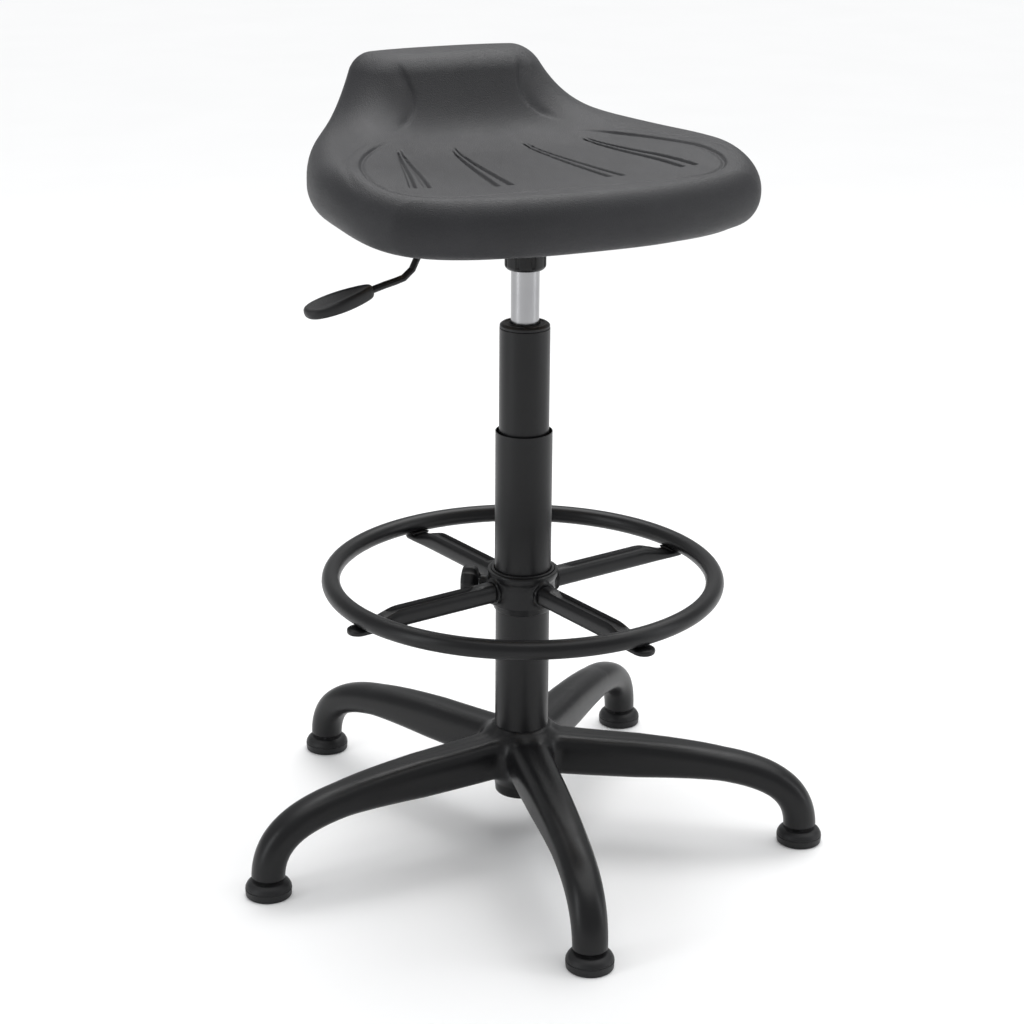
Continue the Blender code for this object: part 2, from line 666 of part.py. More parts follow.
def build_mechanism():
    """The dished plate with its slot and ears for the lever, the taper socket, and the pivot."""
    high = SEAT_UNDERSIDE_Z - GAP
    low = high - PLATE_THICKNESS
    shape = rounded_plate("seat_plate", *PLATE_HALF_SIZE, 0.018, low, high)
    plate = add_object("seat_plate", shape, black_enamel())
    cut(plate, [drum("dish_hole", PLATE_DISH_R - 0.004, (0, 0, low - 0.01), (0, 0, high + 0.01), 24)])
    inner = SOCKET_R + GAP
    dish = [
        (inner, PLATE_DISH_Z),
        (inner + 0.004, PLATE_DISH_Z),
        (PLATE_DISH_R - 0.006, low),
        (PLATE_DISH_R, low),
        (PLATE_DISH_R, high),
        (PLATE_DISH_R - 0.007, high),
        (inner + 0.003, PLATE_DISH_Z + PLATE_THICKNESS),
        (inner, PLATE_DISH_Z + PLATE_THICKNESS),
    ]
    ears = []
    for side in (-1, 1):
        near, far = 0.0070 * side, 0.0100 * side
        y_low, y_high = min(near, far), max(near, far)
        ears.append(
            block(
                f"ear_{side}",
                (LEVER_PIVOT.x - 0.005, y_low, 0.6405),
                (LEVER_PIVOT.x + 0.005, y_high, 0.6515),
            )
        )
    join(plate, [turned("dish", dish, black_enamel())] + ears)
    pin_half = 0.0120
    reach = Vector((0, 0.02, 0))
    hole = drum("pin_hole", 0.0028, LEVER_PIVOT - reach, LEVER_PIVOT + reach, 14)
    slot = block("lever_slot", (-0.062, -0.0062, 0.6300), (LEVER_PIVOT.x + 0.009, 0.0062, low - 0.0008))
    cutters = [hole, slot]
    for i, (x, y) in enumerate(screw_places()):
        cutters.append(drum(f"plate_hole_{i}", SCREW_R + 0.0006, (x, y, low - 0.01), (x, y, high + 0.01), 12))
    cut(plate, cutters)

    socket = [
        (SOCKET_R - 0.0020, SOCKET_BOTTOM_Z),
        (SOCKET_R, SOCKET_BOTTOM_Z + 0.0035),
        (SOCKET_R, CYLINDER_TOP_Z + 0.0035),
        (CYLINDER_TOP_R + GAP, CYLINDER_TOP_Z + 0.0035),
        (CYLINDER_TOP_R + GAP, CYLINDER_TOP_Z - 0.001),
        (CYLINDER_R + GAP, CYLINDER_TAPER_Z),
        (CYLINDER_R + GAP, SOCKET_BOTTOM_Z),
    ]
    turned("taper_socket", socket, black_enamel())

    half_pin = Vector((0, pin_half, 0))
    rod = drum("lever_pin", 0.0025, LEVER_PIVOT - half_pin, LEVER_PIVOT + half_pin, 14)
    rod.data.materials.clear()
    rod.data.materials.append(zinc_steel())


def smooth_route(points, spacing):
    """Points at an even spacing along a Catmull-Rom curve through the given ones."""
    fixed = [Vector(p) for p in points]
    ends = [fixed[0] * 2 - fixed[1]] + fixed + [fixed[-1] * 2 - fixed[-2]]
    made = [fixed[0]]
    for a, b, c, d in zip(ends, ends[1:], ends[2:], ends[3:]):
        count = max(1, round((c - b).length / spacing))
        for i in range(1, count + 1):
            t = i / count
            made.append(
                ((b * 2) + (c - a) * t + (a * 2 - b * 5 + c * 4 - d) * t**2 + (b * 3 - a - c * 3 + d) * t**3) / 2
            )
    return made


def swept_mesh(name, route, radius, count=10):
    """A round rod along a route, its sections turned as little as possible from one to the next."""
    rings = []
    side = None
    for i, point in enumerate(route):
        along = (route[min(i + 1, len(route) - 1)] - route[max(i - 1, 0)]).normalized()
        side = along.cross(Vector((0, 0, 1))) if side is None else side - along * side.dot(along)
        side.normalize()
        rings.append(oval_ring(point, side, side.cross(along), radius, radius, count, 2.0))
    return lofted_mesh(name, rings)


def build_lever():
    """The bent rod with its pivot eye, and the paddle on its outer end: both turn on the pivot."""
    pivot = add_pivot("lever_pivot", LEVER_PIVOT)
    route = smooth_route(LEVER_ROUTE, 0.010)
    rod = add_object("lever_rod", swept_mesh("lever_rod", route, LEVER_ROD_R), black_enamel())
    eye = drum("eye", 0.0058, LEVER_PIVOT - Vector((0, 0.0056, 0)), LEVER_PIVOT + Vector((0, 0.0056, 0)), 18)
    join(rod, [eye])
    reach = Vector((0, 0.01, 0))
    cut(rod, [drum("eye_hole", 0.0028, LEVER_PIVOT - reach, LEVER_PIVOT + reach, 14)])

    half = PADDLE_THICKNESS / 2
    outline = []
    for i in range(28):
        angle = math.tau * i / 28
        along = -0.5 * PADDLE_LENGTH * (1 - math.cos(angle))
        share = -along / PADDLE_LENGTH
        width = (0.0125 + 0.0100 * share) * math.sin(angle)
        outline.append((along, width))
    rings = []
    for height, inset in ((-half, 0.0018), (-half + 0.0014, 0.0), (half - 0.0014, 0.0), (half, 0.0016)):
        ring = []
        for x, y in outline:
            scale_x = 1.0 - 2 * inset / PADDLE_LENGTH
            scale_y = 1.0 - inset / 0.016
            ring.append(Vector(((x + PADDLE_LENGTH / 2) * scale_x - PADDLE_LENGTH / 2, y * scale_y, height)))
        rings.append(ring)
    paddle = add_object("lever_paddle", lofted_mesh("lever_paddle", rings), black_plastic())
    tip = Vector(LEVER_ROUTE[-1])
    before = Vector(LEVER_ROUTE[-2])
    heading = (tip - before).normalized()
    turn = Matrix.Rotation(-PADDLE_TILT, 4, "Y") @ Matrix.Rotation(math.atan2(-heading.y, -heading.x), 4, "Z")
    start = tip - heading * 0.0200
    paddle.data.transform(Matrix.Translation(start) @ turn)
    cut(paddle, [drum("rod_hole", LEVER_ROD_R + GAP, start - heading * 0.02, tip + heading * 0.001, 16)])
    for piece in (rod, paddle):
        piece.data.transform(Matrix.Translation(-LEVER_PIVOT))
        piece.parent = pivot


# --- seat ---------------------------------------------------------------------------------------

def smooth_step(low, high, value):
    """0 below low, 1 above high, and an S-curve between them."""
    share = np.clip((value - low) / (high - low), 0.0, 1.0)
    return share * share * (3.0 - 2.0 * share)


def seat_half_width(y):
    """Half the seat's width: even in front, eased in towards the back, and tucked in at the front corners."""
    narrowing = (SEAT_WIDEST - SEAT_NARROWEST) * smooth_step(*SEAT_NARROWS_Y, y)
    tuck = SEAT_FRONT_TUCK * (1.0 - smooth_step(*SEAT_FRONT_TUCK_Y, y))
    return SEAT_WIDEST - narrowing - tuck


def seat_outline(x, y):
    """1 on the seat's outline and less inside: a superellipse of varying width."""
    along = (2 * y - SEAT_FRONT_Y - SEAT_BACK_Y) / (SEAT_BACK_Y - SEAT_FRONT_Y)
    return (np.abs(x) / seat_half_width(y)) ** SEAT_SIDE_POWER + np.abs(along) ** SEAT_END_POWER


def seat_depth_inside(x, y):
    """How far a point is inside the outline: the outline's fourth root over its own slope."""
    step = 1e-4
    value = seat_outline(x, y) ** 0.25
    slope_x = (seat_outline(x + step, y) ** 0.25 - seat_outline(x - step, y) ** 0.25) / (2 * step)
    slope_y = (seat_outline(x, y + step) ** 0.25 - seat_outline(x, y - step) ** 0.25) / (2 * step)
    return (1.0 - value) / np.maximum(np.hypot(slope_x, slope_y), 1e-6)


def seat_top(x, y):
    """Height of the top: a level panel that sweeps up into the back, sooner and more gently at the sides."""
    to_side = smooth_step(0.30, 1.0, np.abs(x) / seat_half_width(y))
    start = SEAT_RISE_START[0] + (SEAT_RISE_START[1] - SEAT_RISE_START[0]) * to_side
    slope = SEAT_RISE_SLOPE[0] + (SEAT_RISE_SLOPE[1] - SEAT_RISE_SLOPE[0]) * to_side
    bend = SEAT_RISE_BEND[0] + (SEAT_RISE_BEND[1] - SEAT_RISE_BEND[0]) * to_side
    beyond = y - start
    rise = slope * (beyond + np.sqrt(beyond * beyond + bend * bend)) / 2 - slope * bend * bend / 0.8
    lip = SEAT_SIDE_LIP * to_side * smooth_step(-0.14, -0.02, y)
    return SEAT_PANEL_Z + rise + lip - SEAT_FRONT_DROP * (1.0 - smooth_step(-0.20, -0.10, y))


def seat_underside(y):
    """Height of the underside, which hangs lower towards the front edge."""
    return SEAT_RIM_Z - SEAT_UNDER_DROP * smooth_step(0.0, 0.19, -y)


def seat_field(points):
    """Zero on the seat's skin: top, side, underside and crest, met with round edges."""
    x, y, z = points.T
    step = 1e-4
    top = seat_top(x, y)
    slope = np.hypot(seat_top(x + step, y) - top, seat_top(x, y + step) - top) / step
    side_share = 1.0 - (1.0 - SEAT_FRONT_EASE) * (1.0 - smooth_step(-0.20, 0.0, y))
    sides = np.stack(
        [
            (z - top) / np.sqrt(1.0 + slope * slope),
            -seat_depth_inside(x, y) * side_share,
            seat_underside(y) - z,
            z - SEAT_CREST_Z,
        ]
    )
    radius = SEAT_EDGE_R + (SEAT_CREST_R - SEAT_EDGE_R) * smooth_step(0.04, 0.16, y)
    outside = np.maximum(sides + radius, 0.0)
    return np.minimum(-radius, sides.max(axis=0)) + np.sqrt((outside * outside).sum(axis=0))


def pull_to_skin(points, rounds=8):
    """Moves points along the field's slope until they lie on the skin."""
    step = 1e-5
    for _ in range(rounds):
        value = seat_field(points)
        slope = np.stack([(seat_field(points + step * axis) - value) / step for axis in np.eye(3)], axis=1)
        length = np.maximum((slope * slope).sum(axis=1), 0.05)
        move = -(value / length)[:, None] * slope
        size = np.maximum(np.linalg.norm(move, axis=1, keepdims=True), 1e-9)
        points = points + move * np.minimum(1.0, 0.02 / size)
    return points


def cushion_mesh(name, count=15, rows=8, inset=0.022):
    """The cushion: a square grid pulled to the outline for the top, then rings round the rim and under it."""
    span = np.linspace(-1.0, 1.0, count)
    u, v = np.meshgrid(span, span, indexing="ij")
    reach = np.maximum(np.maximum(np.abs(u), np.abs(v)), 1e-9)
    power = 4.0
    corner = np.maximum((np.abs(u) / reach) ** power + (np.abs(v) / reach) ** power, 1.0) ** (-1.0 / power)
    pull = 1.0 + (corner - 1.0) * reach**2
    half_length = (SEAT_BACK_Y - SEAT_FRONT_Y) / 2 - inset
    y = (SEAT_BACK_Y + SEAT_FRONT_Y) / 2 + v * pull * half_length
    x = u * pull * (seat_half_width(y) - inset)
    top = np.stack([x, y, np.minimum(seat_top(x, y), SEAT_CREST_Z)], axis=2)
    last = count - 1
    loop = [(i, 0) for i in range(last)] + [(last, j) for j in range(last)]
    loop += [(i, last) for i in range(last, 0, -1)] + [(0, j) for j in range(last, 0, -1)]
    border = np.array([top[i, j] for i, j in loop])
    ahead = np.roll(border, -1, axis=0) - np.roll(border, 1, axis=0)
    outwards = np.stack([ahead[:, 1], -ahead[:, 0]], axis=1)
    outwards /= np.linalg.norm(outwards, axis=1, keepdims=True)
    rings = []
    under = seat_underside(border[:, 1])
    for row in range(1, rows + 1):
        turn = math.pi * row / rows
        flat = border[:, :2] + outwards * inset * math.sin(turn)
        height = under + (border[:, 2] - under) * (1 + math.cos(turn)) / 2
        rings.append(np.column_stack([flat, height]))
    skin = pull_to_skin(np.concatenate([top.reshape(-1, 3)] + rings))
    edge = skin[-len(loop) :]
    edge[:, 2] = seat_underside(edge[:, 1])
    middle = np.array((0.0, BOARD_CENTRE_Y))
    for share in UNDERSIDE_SHARES:
        flat = middle + (edge[:, :2] - middle) * share
        skin = np.concatenate([skin, np.column_stack([flat, seat_underside(flat[:, 1])])])

    shape = bmesh.new()
    verts = [shape.verts.new(point) for point in skin]
    grid = [verts[i * count : (i + 1) * count] for i in range(count)]
    for i in range(last):
        for j in range(last):
            shape.faces.new((grid[i][j], grid[i + 1][j], grid[i + 1][j + 1], grid[i][j + 1]))
    around = [[grid[i][j] for i, j in loop]]
    for row in range(rows + len(UNDERSIDE_SHARES)):
        start = count * count + row * len(loop)
        around.append(verts[start : start + len(loop)])
    for upper, lower in zip(around, around[1:]):
        for i in range(len(loop)):
            j = (i + 1) % len(loop)
            shape.faces.new((upper[j], upper[i], lower[i], lower[j]))
    shape.faces.new(around[-1])
    return finish_mesh(name, shape, smooth_angle=60.0)


def build_seat():
    """The moulded cushion with a pocket for its board, the board, and the plate's nuts and screws."""
    low = SEAT_UNDERSIDE_Z + GAP
    high = low + BOARD_THICKNESS
    cushion = add_object("seat_cushion", cushion_mesh("seat_cushion"), seat_foam())
    wide, long = (half + GAP for half in BOARD_HALF_SIZE)
    mouth = seat_underside(SEAT_FRONT_Y) - 0.01
    pocket = rounded_plate("pocket", wide, long, 0.060, mouth, high + GAP, BOARD_CENTRE_Y)
    cut(cushion, [add_object("pocket", pocket, seat_foam())])
    shape = rounded_plate("seat_board", *BOARD_HALF_SIZE, 0.060, low, high, BOARD_CENTRE_Y)
    board = add_object("seat_board", shape, birch_board())
    cutters = []
    flange = 0.0022
    for i, (x, y) in enumerate(screw_places()):
        cutters.append(drum(f"barrel_{i}", NUT_BARREL_R + GAP, (x, y, low - 0.01), (x, y, high + 0.01), 12))
        sink = (x, y, high - flange - 0.0006)
        cutters.append(drum(f"sink_{i}", NUT_FLANGE_R + GAP, sink, (x, y, high + 0.01), 14))
    cut(board, cutters)
    nut = [
        (SCREW_R + GAP, low + 0.001),
        (NUT_BARREL_R, low + 0.001),
        (NUT_BARREL_R, high - flange - GAP),
        (NUT_FLANGE_R, high - flange - GAP),
        (NUT_FLANGE_R, high - GAP),
        (SCREW_R + GAP, high - GAP),
    ]
    under = SEAT_UNDERSIDE_Z - GAP - PLATE_THICKNESS - GAP
    screw = [
        (0.0, under - 0.0052),
        (0.0062, under - 0.0052),
        (0.0068, under - 0.0046),
        (0.0068, under),
        (SCREW_R, under),
        (SCREW_R, high - 0.0015),
        (0.0, high - 0.0015),
    ]
    for i, (x, y) in enumerate(screw_places()):
        turned(f"tee_nut_{i + 1}", nut, zinc_steel(), steps=12, location=(x, y, 0.0))
        turned(f"seat_screw_{i + 1}", screw, zinc_steel(), steps=12, location=(x, y, 0.0))


def main():
    for old in list(bpy.data.objects):
        bpy.data.objects.remove(old)
    build_base()
    build_glides()
    build_column()
    build_piston_rod()
    build_gas_cylinder()
    build_collar()
    build_foot_ring()
    build_clamp_knob()
    build_mechanism()
    build_lever()
    build_seat()


main()
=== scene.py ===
"""The finished looks of the drafting stool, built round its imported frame.

Lengths are in metres and the frame is the design's own: +Z up, the column's axis at the origin, the
sitter facing -Y. Most surfaces are worked out with numpy on a grid of two parameters, and the castings
are fused on an even grid. Each rides on the body of the piece that it stands for. The finishes are
procedural and read object coordinates.
"""

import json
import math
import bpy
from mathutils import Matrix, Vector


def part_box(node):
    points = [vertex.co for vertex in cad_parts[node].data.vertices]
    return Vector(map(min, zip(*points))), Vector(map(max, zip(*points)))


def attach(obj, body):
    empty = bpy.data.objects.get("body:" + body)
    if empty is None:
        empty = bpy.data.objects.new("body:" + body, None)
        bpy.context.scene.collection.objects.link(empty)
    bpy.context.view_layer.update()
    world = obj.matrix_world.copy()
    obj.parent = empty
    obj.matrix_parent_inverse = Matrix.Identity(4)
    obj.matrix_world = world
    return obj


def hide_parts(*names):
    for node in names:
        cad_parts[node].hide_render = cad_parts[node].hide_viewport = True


bl_info = {
    "name": "Drafting Stool Looks",
    "version": (1, 0, 0),
    "blender": (4, 5, 0),
    "location": "3D View > Sidebar > Stool",
    "description": "Builds the finished surfaces, materials and stage of a drafting stool",
    "category": "Object",
}

import bmesh
import bpy
import numpy as np
from mathutils import Matrix, Vector

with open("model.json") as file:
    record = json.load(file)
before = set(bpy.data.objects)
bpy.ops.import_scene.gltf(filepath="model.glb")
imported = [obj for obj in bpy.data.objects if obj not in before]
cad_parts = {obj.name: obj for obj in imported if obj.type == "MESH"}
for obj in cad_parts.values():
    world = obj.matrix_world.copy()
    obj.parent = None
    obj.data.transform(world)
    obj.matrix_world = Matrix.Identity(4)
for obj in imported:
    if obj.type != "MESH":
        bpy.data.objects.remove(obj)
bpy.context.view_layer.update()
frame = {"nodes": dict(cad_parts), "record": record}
SLOT_OF_NODE = {part["node"]: part["material_slot"] for part in frame["record"]["subparts"]}


# --- materials ----------------------------------------------------------------------------------


class Wire:
    """One output of a node. Arithmetic on it adds Math nodes to the same material."""

    def __init__(self, look, socket):
        self.look = look
        self.socket = socket

    def math(self, operation, *others):
        values = {i: value for i, value in enumerate((self, *others))}
        return self.look.node("ShaderNodeMath", {"operation": operation}, values)

    def __add__(self, other):
        return self.math("ADD", other)

    __radd__ = __add__

    def __mul__(self, other):
        return self.math("MULTIPLY", other)

    __rmul__ = __mul__

    def __sub__(self, other):
        return self.math("SUBTRACT", other)

    def clamped(self, low, high):
        """The value taken from low..high to 0..1, flat outside."""
        settings = {"interpolation_type": "SMOOTHSTEP"}
        values = {"Value": self, "From Min": low, "From Max": high}
        return self.look.node("ShaderNodeMapRange", settings, values)


class Look:
    """A Principled material whose sockets take numbers, colours or wires."""

    def __init__(self, name, **shader_values):
        self.material = bpy.data.materials.new(name)
        self.material.use_nodes = True
        self.tree = self.material.node_tree
        self.shader = self.tree.nodes["Principled BSDF"]
        for key, value in shader_values.items():
            self.set(key.replace("_", " ").title().replace("Ior", "IOR"), value)

    def node(self, kind, settings=None, inputs=None, output=0):
        """Adds a node: its settings come first, then a value or a wire for each named socket."""
        made = self.tree.nodes.new(kind)
        for key, value in (settings or {}).items():
            setattr(made, key, value)
        for key, value in (inputs or {}).items():
            self.plug(made.inputs[key], value)
        return Wire(self, made.outputs[output])

    def plug(self, socket, value):
        if isinstance(value, Wire):
            self.tree.links.new(value.socket, socket)
        elif isinstance(value, (tuple, list)) and len(value) == 3 and socket.type == "RGBA":
            socket.default_value = (*value, 1.0)
        else:
            socket.default_value = value

    def set(self, name, value):
        self.plug(self.shader.inputs[name], value)

    def place(self, scale=(1.0, 1.0, 1.0)):
        """Object coordinates, stretched by a scale along each axis."""
        coordinates = self.node("ShaderNodeTexCoord", output="Object")
        return self.node("ShaderNodeMapping", None, {"Vector": coordinates, "Scale": scale})

    def noise(self, scale, detail=2.0, stretch=(1.0, 1.0, 1.0), roughness=0.5):
        values = {"Vector": self.place(stretch), "Scale": scale, "Detail": detail, "Roughness": roughness}
        return self.node("ShaderNodeTexNoise", None, values)

    def cells(self, scale, feature="F1", smoothness=0.4):
        values = {"Vector": self.place(), "Scale": scale}
        if feature == "SMOOTH_F1":
            values["Smoothness"] = smoothness
        return self.node("ShaderNodeTexVoronoi", {"feature": feature}, values)

    def blend(self, share, low, high):
        """A colour between two colours."""
        mixed = self.tree.nodes.new("ShaderNodeMix")
        mixed.data_type = "RGBA"
        for index, value in ((0, share), (6, low), (7, high)):
            self.plug(mixed.inputs[index], value)
        return Wire(self, mixed.outputs[2])

    def bump(self, height, distance, strength=1.0):
        values = {"Height": height, "Distance": distance, "Strength": strength}
        self.set("Normal", self.node("ShaderNodeBump", None, values))


def seat_skin():
    """The foam's own moulded skin: a fine pebbled grain, a little cloudy in colour and sheen."""
    settings = bpy.context.scene.stool_seat
    look = Look("seat_skin", metallic=0.0, specular_ior_level=0.34)
    pebbles = look.cells(1.0 / settings.grain_size, "SMOOTH_F1")
    creases = look.noise(520.0, detail=4.0, roughness=0.6)
    cloud = look.noise(14.0, detail=3.0)
    scuff = look.noise(60.0, detail=5.0, stretch=(1.0, 0.25, 1.0), roughness=0.65)
    colour = tuple(settings.skin_colour)
    dark = tuple(value * 0.86 for value in colour)
    light = tuple(value * 1.18 for value in colour)
    look.set("Base Color", look.blend(cloud.clamped(0.32, 0.68) * 0.7 + pebbles * 0.3, dark, light))
    look.set("Roughness", settings.skin_roughness + (scuff - 0.5) * 0.12 + (creases - 0.5) * 0.10)
    look.bump(pebbles * 0.55 + creases * 0.45, 0.00050)
    return look.material


def powder_enamel():
    """Satin black powder coat: even, with a fine orange peel and slightly uneven gloss."""
    settings = bpy.context.scene.stool_metal
    look = Look("powder_enamel", metallic=0.0, specular_ior_level=0.28)
    peel = look.noise(620.0, detail=1.5)
    speck = look.noise(2600.0, detail=1.0)
    cloud = look.noise(22.0, detail=2.0)
    colour = tuple(settings.enamel_colour)
    light = tuple(value * 1.22 for value in colour)
    look.set("Base Color", look.blend(cloud.clamped(0.3, 0.7), colour, light))
    look.set("Roughness", settings.enamel_roughness + (cloud - 0.5) * 0.08 + (speck - 0.5) * 0.10)
    look.bump(peel * 0.7 + speck * 0.3, 0.00006)
    return look.material


def moulded_nylon():
    """Black nylon from a spark-eroded mould: a fine even grain and a soft sheen."""
    look = Look("moulded_nylon", metallic=0.0, specular_ior_level=0.30)
    spark = look.cells(2100.0)
    cloud = look.noise(40.0, detail=3.0)
    look.set("Base Color", look.blend(cloud, (0.0085, 0.0085, 0.0092), (0.0140, 0.0140, 0.0150)))
    look.set("Roughness", 0.43 + (cloud - 0.5) * 0.10 + (spark - 0.4) * 0.08)
    look.bump(spark, 0.00008)
    return look.material


def ground_chrome():
    """Ground and chromed steel: very fine rings round the axis in the gloss."""
    look = Look("ground_chrome", metallic=1.0)
    rings = look.noise(90.0, detail=4.0, stretch=(0.6, 0.6, 55.0), roughness=0.7)
    haze = look.noise(30.0, detail=2.0)
    look.set("Base Color", look.blend(haze, (0.30, 0.30, 0.31), (0.38, 0.38, 0.385)))
    look.set("Roughness", 0.20 + (rings - 0.5) * 0.14 + (haze - 0.5) * 0.06)
    look.bump(rings, 0.000025)
    return look.material


def zinc_plate():
    """Bright zinc on turned steel: a soft spangle in colour and gloss."""
    look = Look("zinc_plate", metallic=1.0)
    spangle = look.cells(420.0)
    haze = look.noise(160.0, detail=3.0)
    look.set("Base Color", look.blend(haze, (0.44, 0.45, 0.47), (0.60, 0.60, 0.59)))
    look.set("Roughness", 0.30 + spangle * 0.12 + (haze - 0.5) * 0.10)
    look.bump(haze, 0.00003)
    return look.material


def birch_plywood():
    """Birch plywood: pale grain along X, and alternate dark plies in the edge."""
    look = Look("birch_plywood", metallic=0.0)
    grain = look.noise(14.0, detail=6.0, stretch=(1.0, 14.0, 14.0), roughness=0.65)
    pores = look.noise(160.0, detail=2.0, stretch=(1.0, 9.0, 9.0))
    height = look.node("ShaderNodeSeparateXYZ", None, {"Vector": look.place()}, output=2)
    plies = (height * (math.tau / 0.0028)).math("SINE").clamped(-0.2, 0.2)
    tint = grain.clamped(0.35, 0.65) * 0.7 + pores * 0.3
    face = look.blend(tint, (0.40, 0.27, 0.15), (0.58, 0.43, 0.27))
    look.set("Base Color", look.blend(plies * 0.35, face, (0.23, 0.13, 0.065)))
    look.set("Roughness", 0.62 + (pores - 0.5) * 0.2)
    look.bump(pores, 0.0001)
    return look.material


def seamless_paper():
    """The stage: matt white paper with the slightest mottling."""
    look = Look("seamless_paper", metallic=0.0, roughness=0.9)
    mottle = look.noise(3.0, detail=2.0)
    look.set("Base Color", look.blend(mottle, (0.90, 0.90, 0.90), (0.93, 0.93, 0.93)))
    return look.material


FINISHES = {
    "black_enamel": powder_enamel,
    "black_plastic": moulded_nylon,
    "zinc_steel": zinc_plate,
    "ground_steel": ground_chrome,
    "birch_board": birch_plywood,
    "seat_foam": seat_skin,
}


def finish_for(slot):
    """The material of a slot of the record, made the first time that it is asked for."""
    made = FINISHES[slot]
    return bpy.data.materials.get(made.__name__) or made()


# --- meshes -------------------------------------------------------------------------------------


def quad_mesh(name, points, quads):
    """A mesh from an array of points and an array of four-cornered faces."""
    mesh = bpy.data.meshes.new(name)
    mesh.vertices.add(len(points))
    mesh.vertices.foreach_set("co", np.asarray(points, np.float32).ravel())
    mesh.loops.add(quads.size)
    mesh.loops.foreach_set("vertex_index", np.asarray(quads, np.int32).ravel())
    mesh.polygons.add(len(quads))
    mesh.polygons.foreach_set("loop_start", np.arange(0, quads.size, 4, dtype=np.int32))
    mesh.update(calc_edges=True)
    return mesh


def close_mesh(mesh, crease=32.0, caps=False):
    """Merges poles and seams, fills open ends, points the faces outwards and shades the surface."""
    shape = bmesh.new()
    shape.from_mesh(mesh)
    bmesh.ops.remove_doubles(shape, verts=shape.verts, dist=2e-6)
    if caps:
        bmesh.ops.holes_fill(shape, edges=shape.edges, sides=0)
    bmesh.ops.recalc_face_normals(shape, faces=shape.faces)
    shape.to_mesh(mesh)
    shape.free()
    mesh.shade_smooth()
    mesh.set_sharp_from_angle(angle=math.radians(crease))
    return mesh


def grid_quads(rows, columns, wrap_rows=False, wrap_columns=True):
    """Faces of a grid of points, row by row, that may close on itself either way."""
    index = np.arange(rows * columns).reshape(rows, columns)
    if wrap_rows:
        index = np.concatenate([index, index[:1]])
    if wrap_columns:
        index = np.concatenate([index, index[:, :1]], axis=1)
    corners = index[:-1, :-1], index[:-1, 1:], index[1:, 1:], index[1:, :-1]
    return np.stack(corners, axis=-1).reshape(-1, 4)


def add_object(name, data):
    """An object that holds the data, linked to the scene."""
    made = bpy.data.objects.new(name, data)
    bpy.context.scene.collection.objects.link(made)
    return made


def place_piece(name, mesh, node):
    """Links a finished mesh as a piece that stands for a node and moves with that node's body."""
    piece = add_object(name, mesh)
    slot = SLOT_OF_NODE[node]
    mesh.materials.append(finish_for(slot))
    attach(piece, body_of(node))
    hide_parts(node)
    return piece


def body_of(node):
    bodies = frame["record"]["behaviour"]["bodies"]
    return next(body for body, nodes in bodies.items() if node in nodes)


def box_and_radius(node):
    """A node's two corners, and half its width along X."""
    low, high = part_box(node)
    return low, high, (high.x - low.x) / 2


def polar(points):
    """Distance from the vertical axis and heading round it."""
    return np.hypot(points[..., 0], points[..., 1]), np.arctan2(points[..., 1], points[..., 0])


def smooth_step(low, high, value):
    """0 below low, 1 above high, and an S-curve between them."""
    share = np.clip((value - low) / (high - low), 0.0, 1.0)
    return share * share * (3.0 - 2.0 * share)


def rounded_outline(corners, fillet=0.0006, steps=5, closed=True):
    """A profile whose corners are arcs: each corner is (radius, height), or has its own fillet as a third
    value. A spare point beside each arc keeps the shading of the flats even."""
    points = []
    count = len(corners)
    for i, corner in enumerate(corners):
        here = np.array(corner[:2], float)
        size = corner[2] if len(corner) > 2 else fillet
        if not closed and i in (0, count - 1):
            points.append(here)
            continue
        before = np.array(corners[i - 1][:2], float) - here
        after = np.array(corners[(i + 1) % count][:2], float) - here
        before_length, after_length = np.linalg.norm(before), np.linalg.norm(after)
        size = min(size, 0.42 * before_length, 0.42 * after_length)
        start = here + before / before_length * size
        end = here + after / after_length * size
        points.append(here + before / before_length * size * 1.15)
        for t in np.linspace(0.0, 1.0, steps):
            points.append((1 - t) ** 2 * start + 2 * t * (1 - t) * here + t**2 * end)
        points.append(here + after / after_length * size * 1.15)
    return np.array(points)


def turned_points(outline, steps, centre=(0.0, 0.0)):
    """The outline's (radius, height) points carried round a vertical axis."""
    angles = np.linspace(0.0, math.tau, steps, endpoint=False)
    radius, height = outline[:, 0:1], outline[:, 1:2]
    x = centre[0] + radius * np.cos(angles)
    y = centre[1] + radius * np.sin(angles)
    return np.stack([x, y, height + 0 * x], axis=-1)


def turned_mesh(name, corners, steps=128, centre=(0.0, 0.0), fillet=0.0006, closed=True, shape=None):
    """A turned solid. shape may move the points, given as an array of rows round the axis."""
    outline = rounded_outline(corners, fillet, closed=closed)
    points = turned_points(outline, steps, centre)
    if shape is not None:
        points = shape(points)
    quads = grid_quads(len(outline), steps, wrap_rows=closed)
    return close_mesh(quad_mesh(name, points.reshape(-1, 3), quads))


def turn_points(points, angle):
    """Points turned about the vertical axis."""
    c, s = math.cos(angle), math.sin(angle)
    return points @ np.array([[c, s, 0.0], [-s, c, 0.0], [0.0, 0.0, 1.0]])


def smooth_union(first, second, reach):
    """The smaller of two distances, with a fillet of about reach where they are alike."""
    blend = np.maximum(reach - np.abs(first - second), 0.0) / reach
    return np.minimum(first, second) - blend * blend * reach / 4


def smooth_cut(first, second, reach):
    """The larger of two distances, with a round edge of about reach."""
    return -smooth_union(-first, -second, reach)


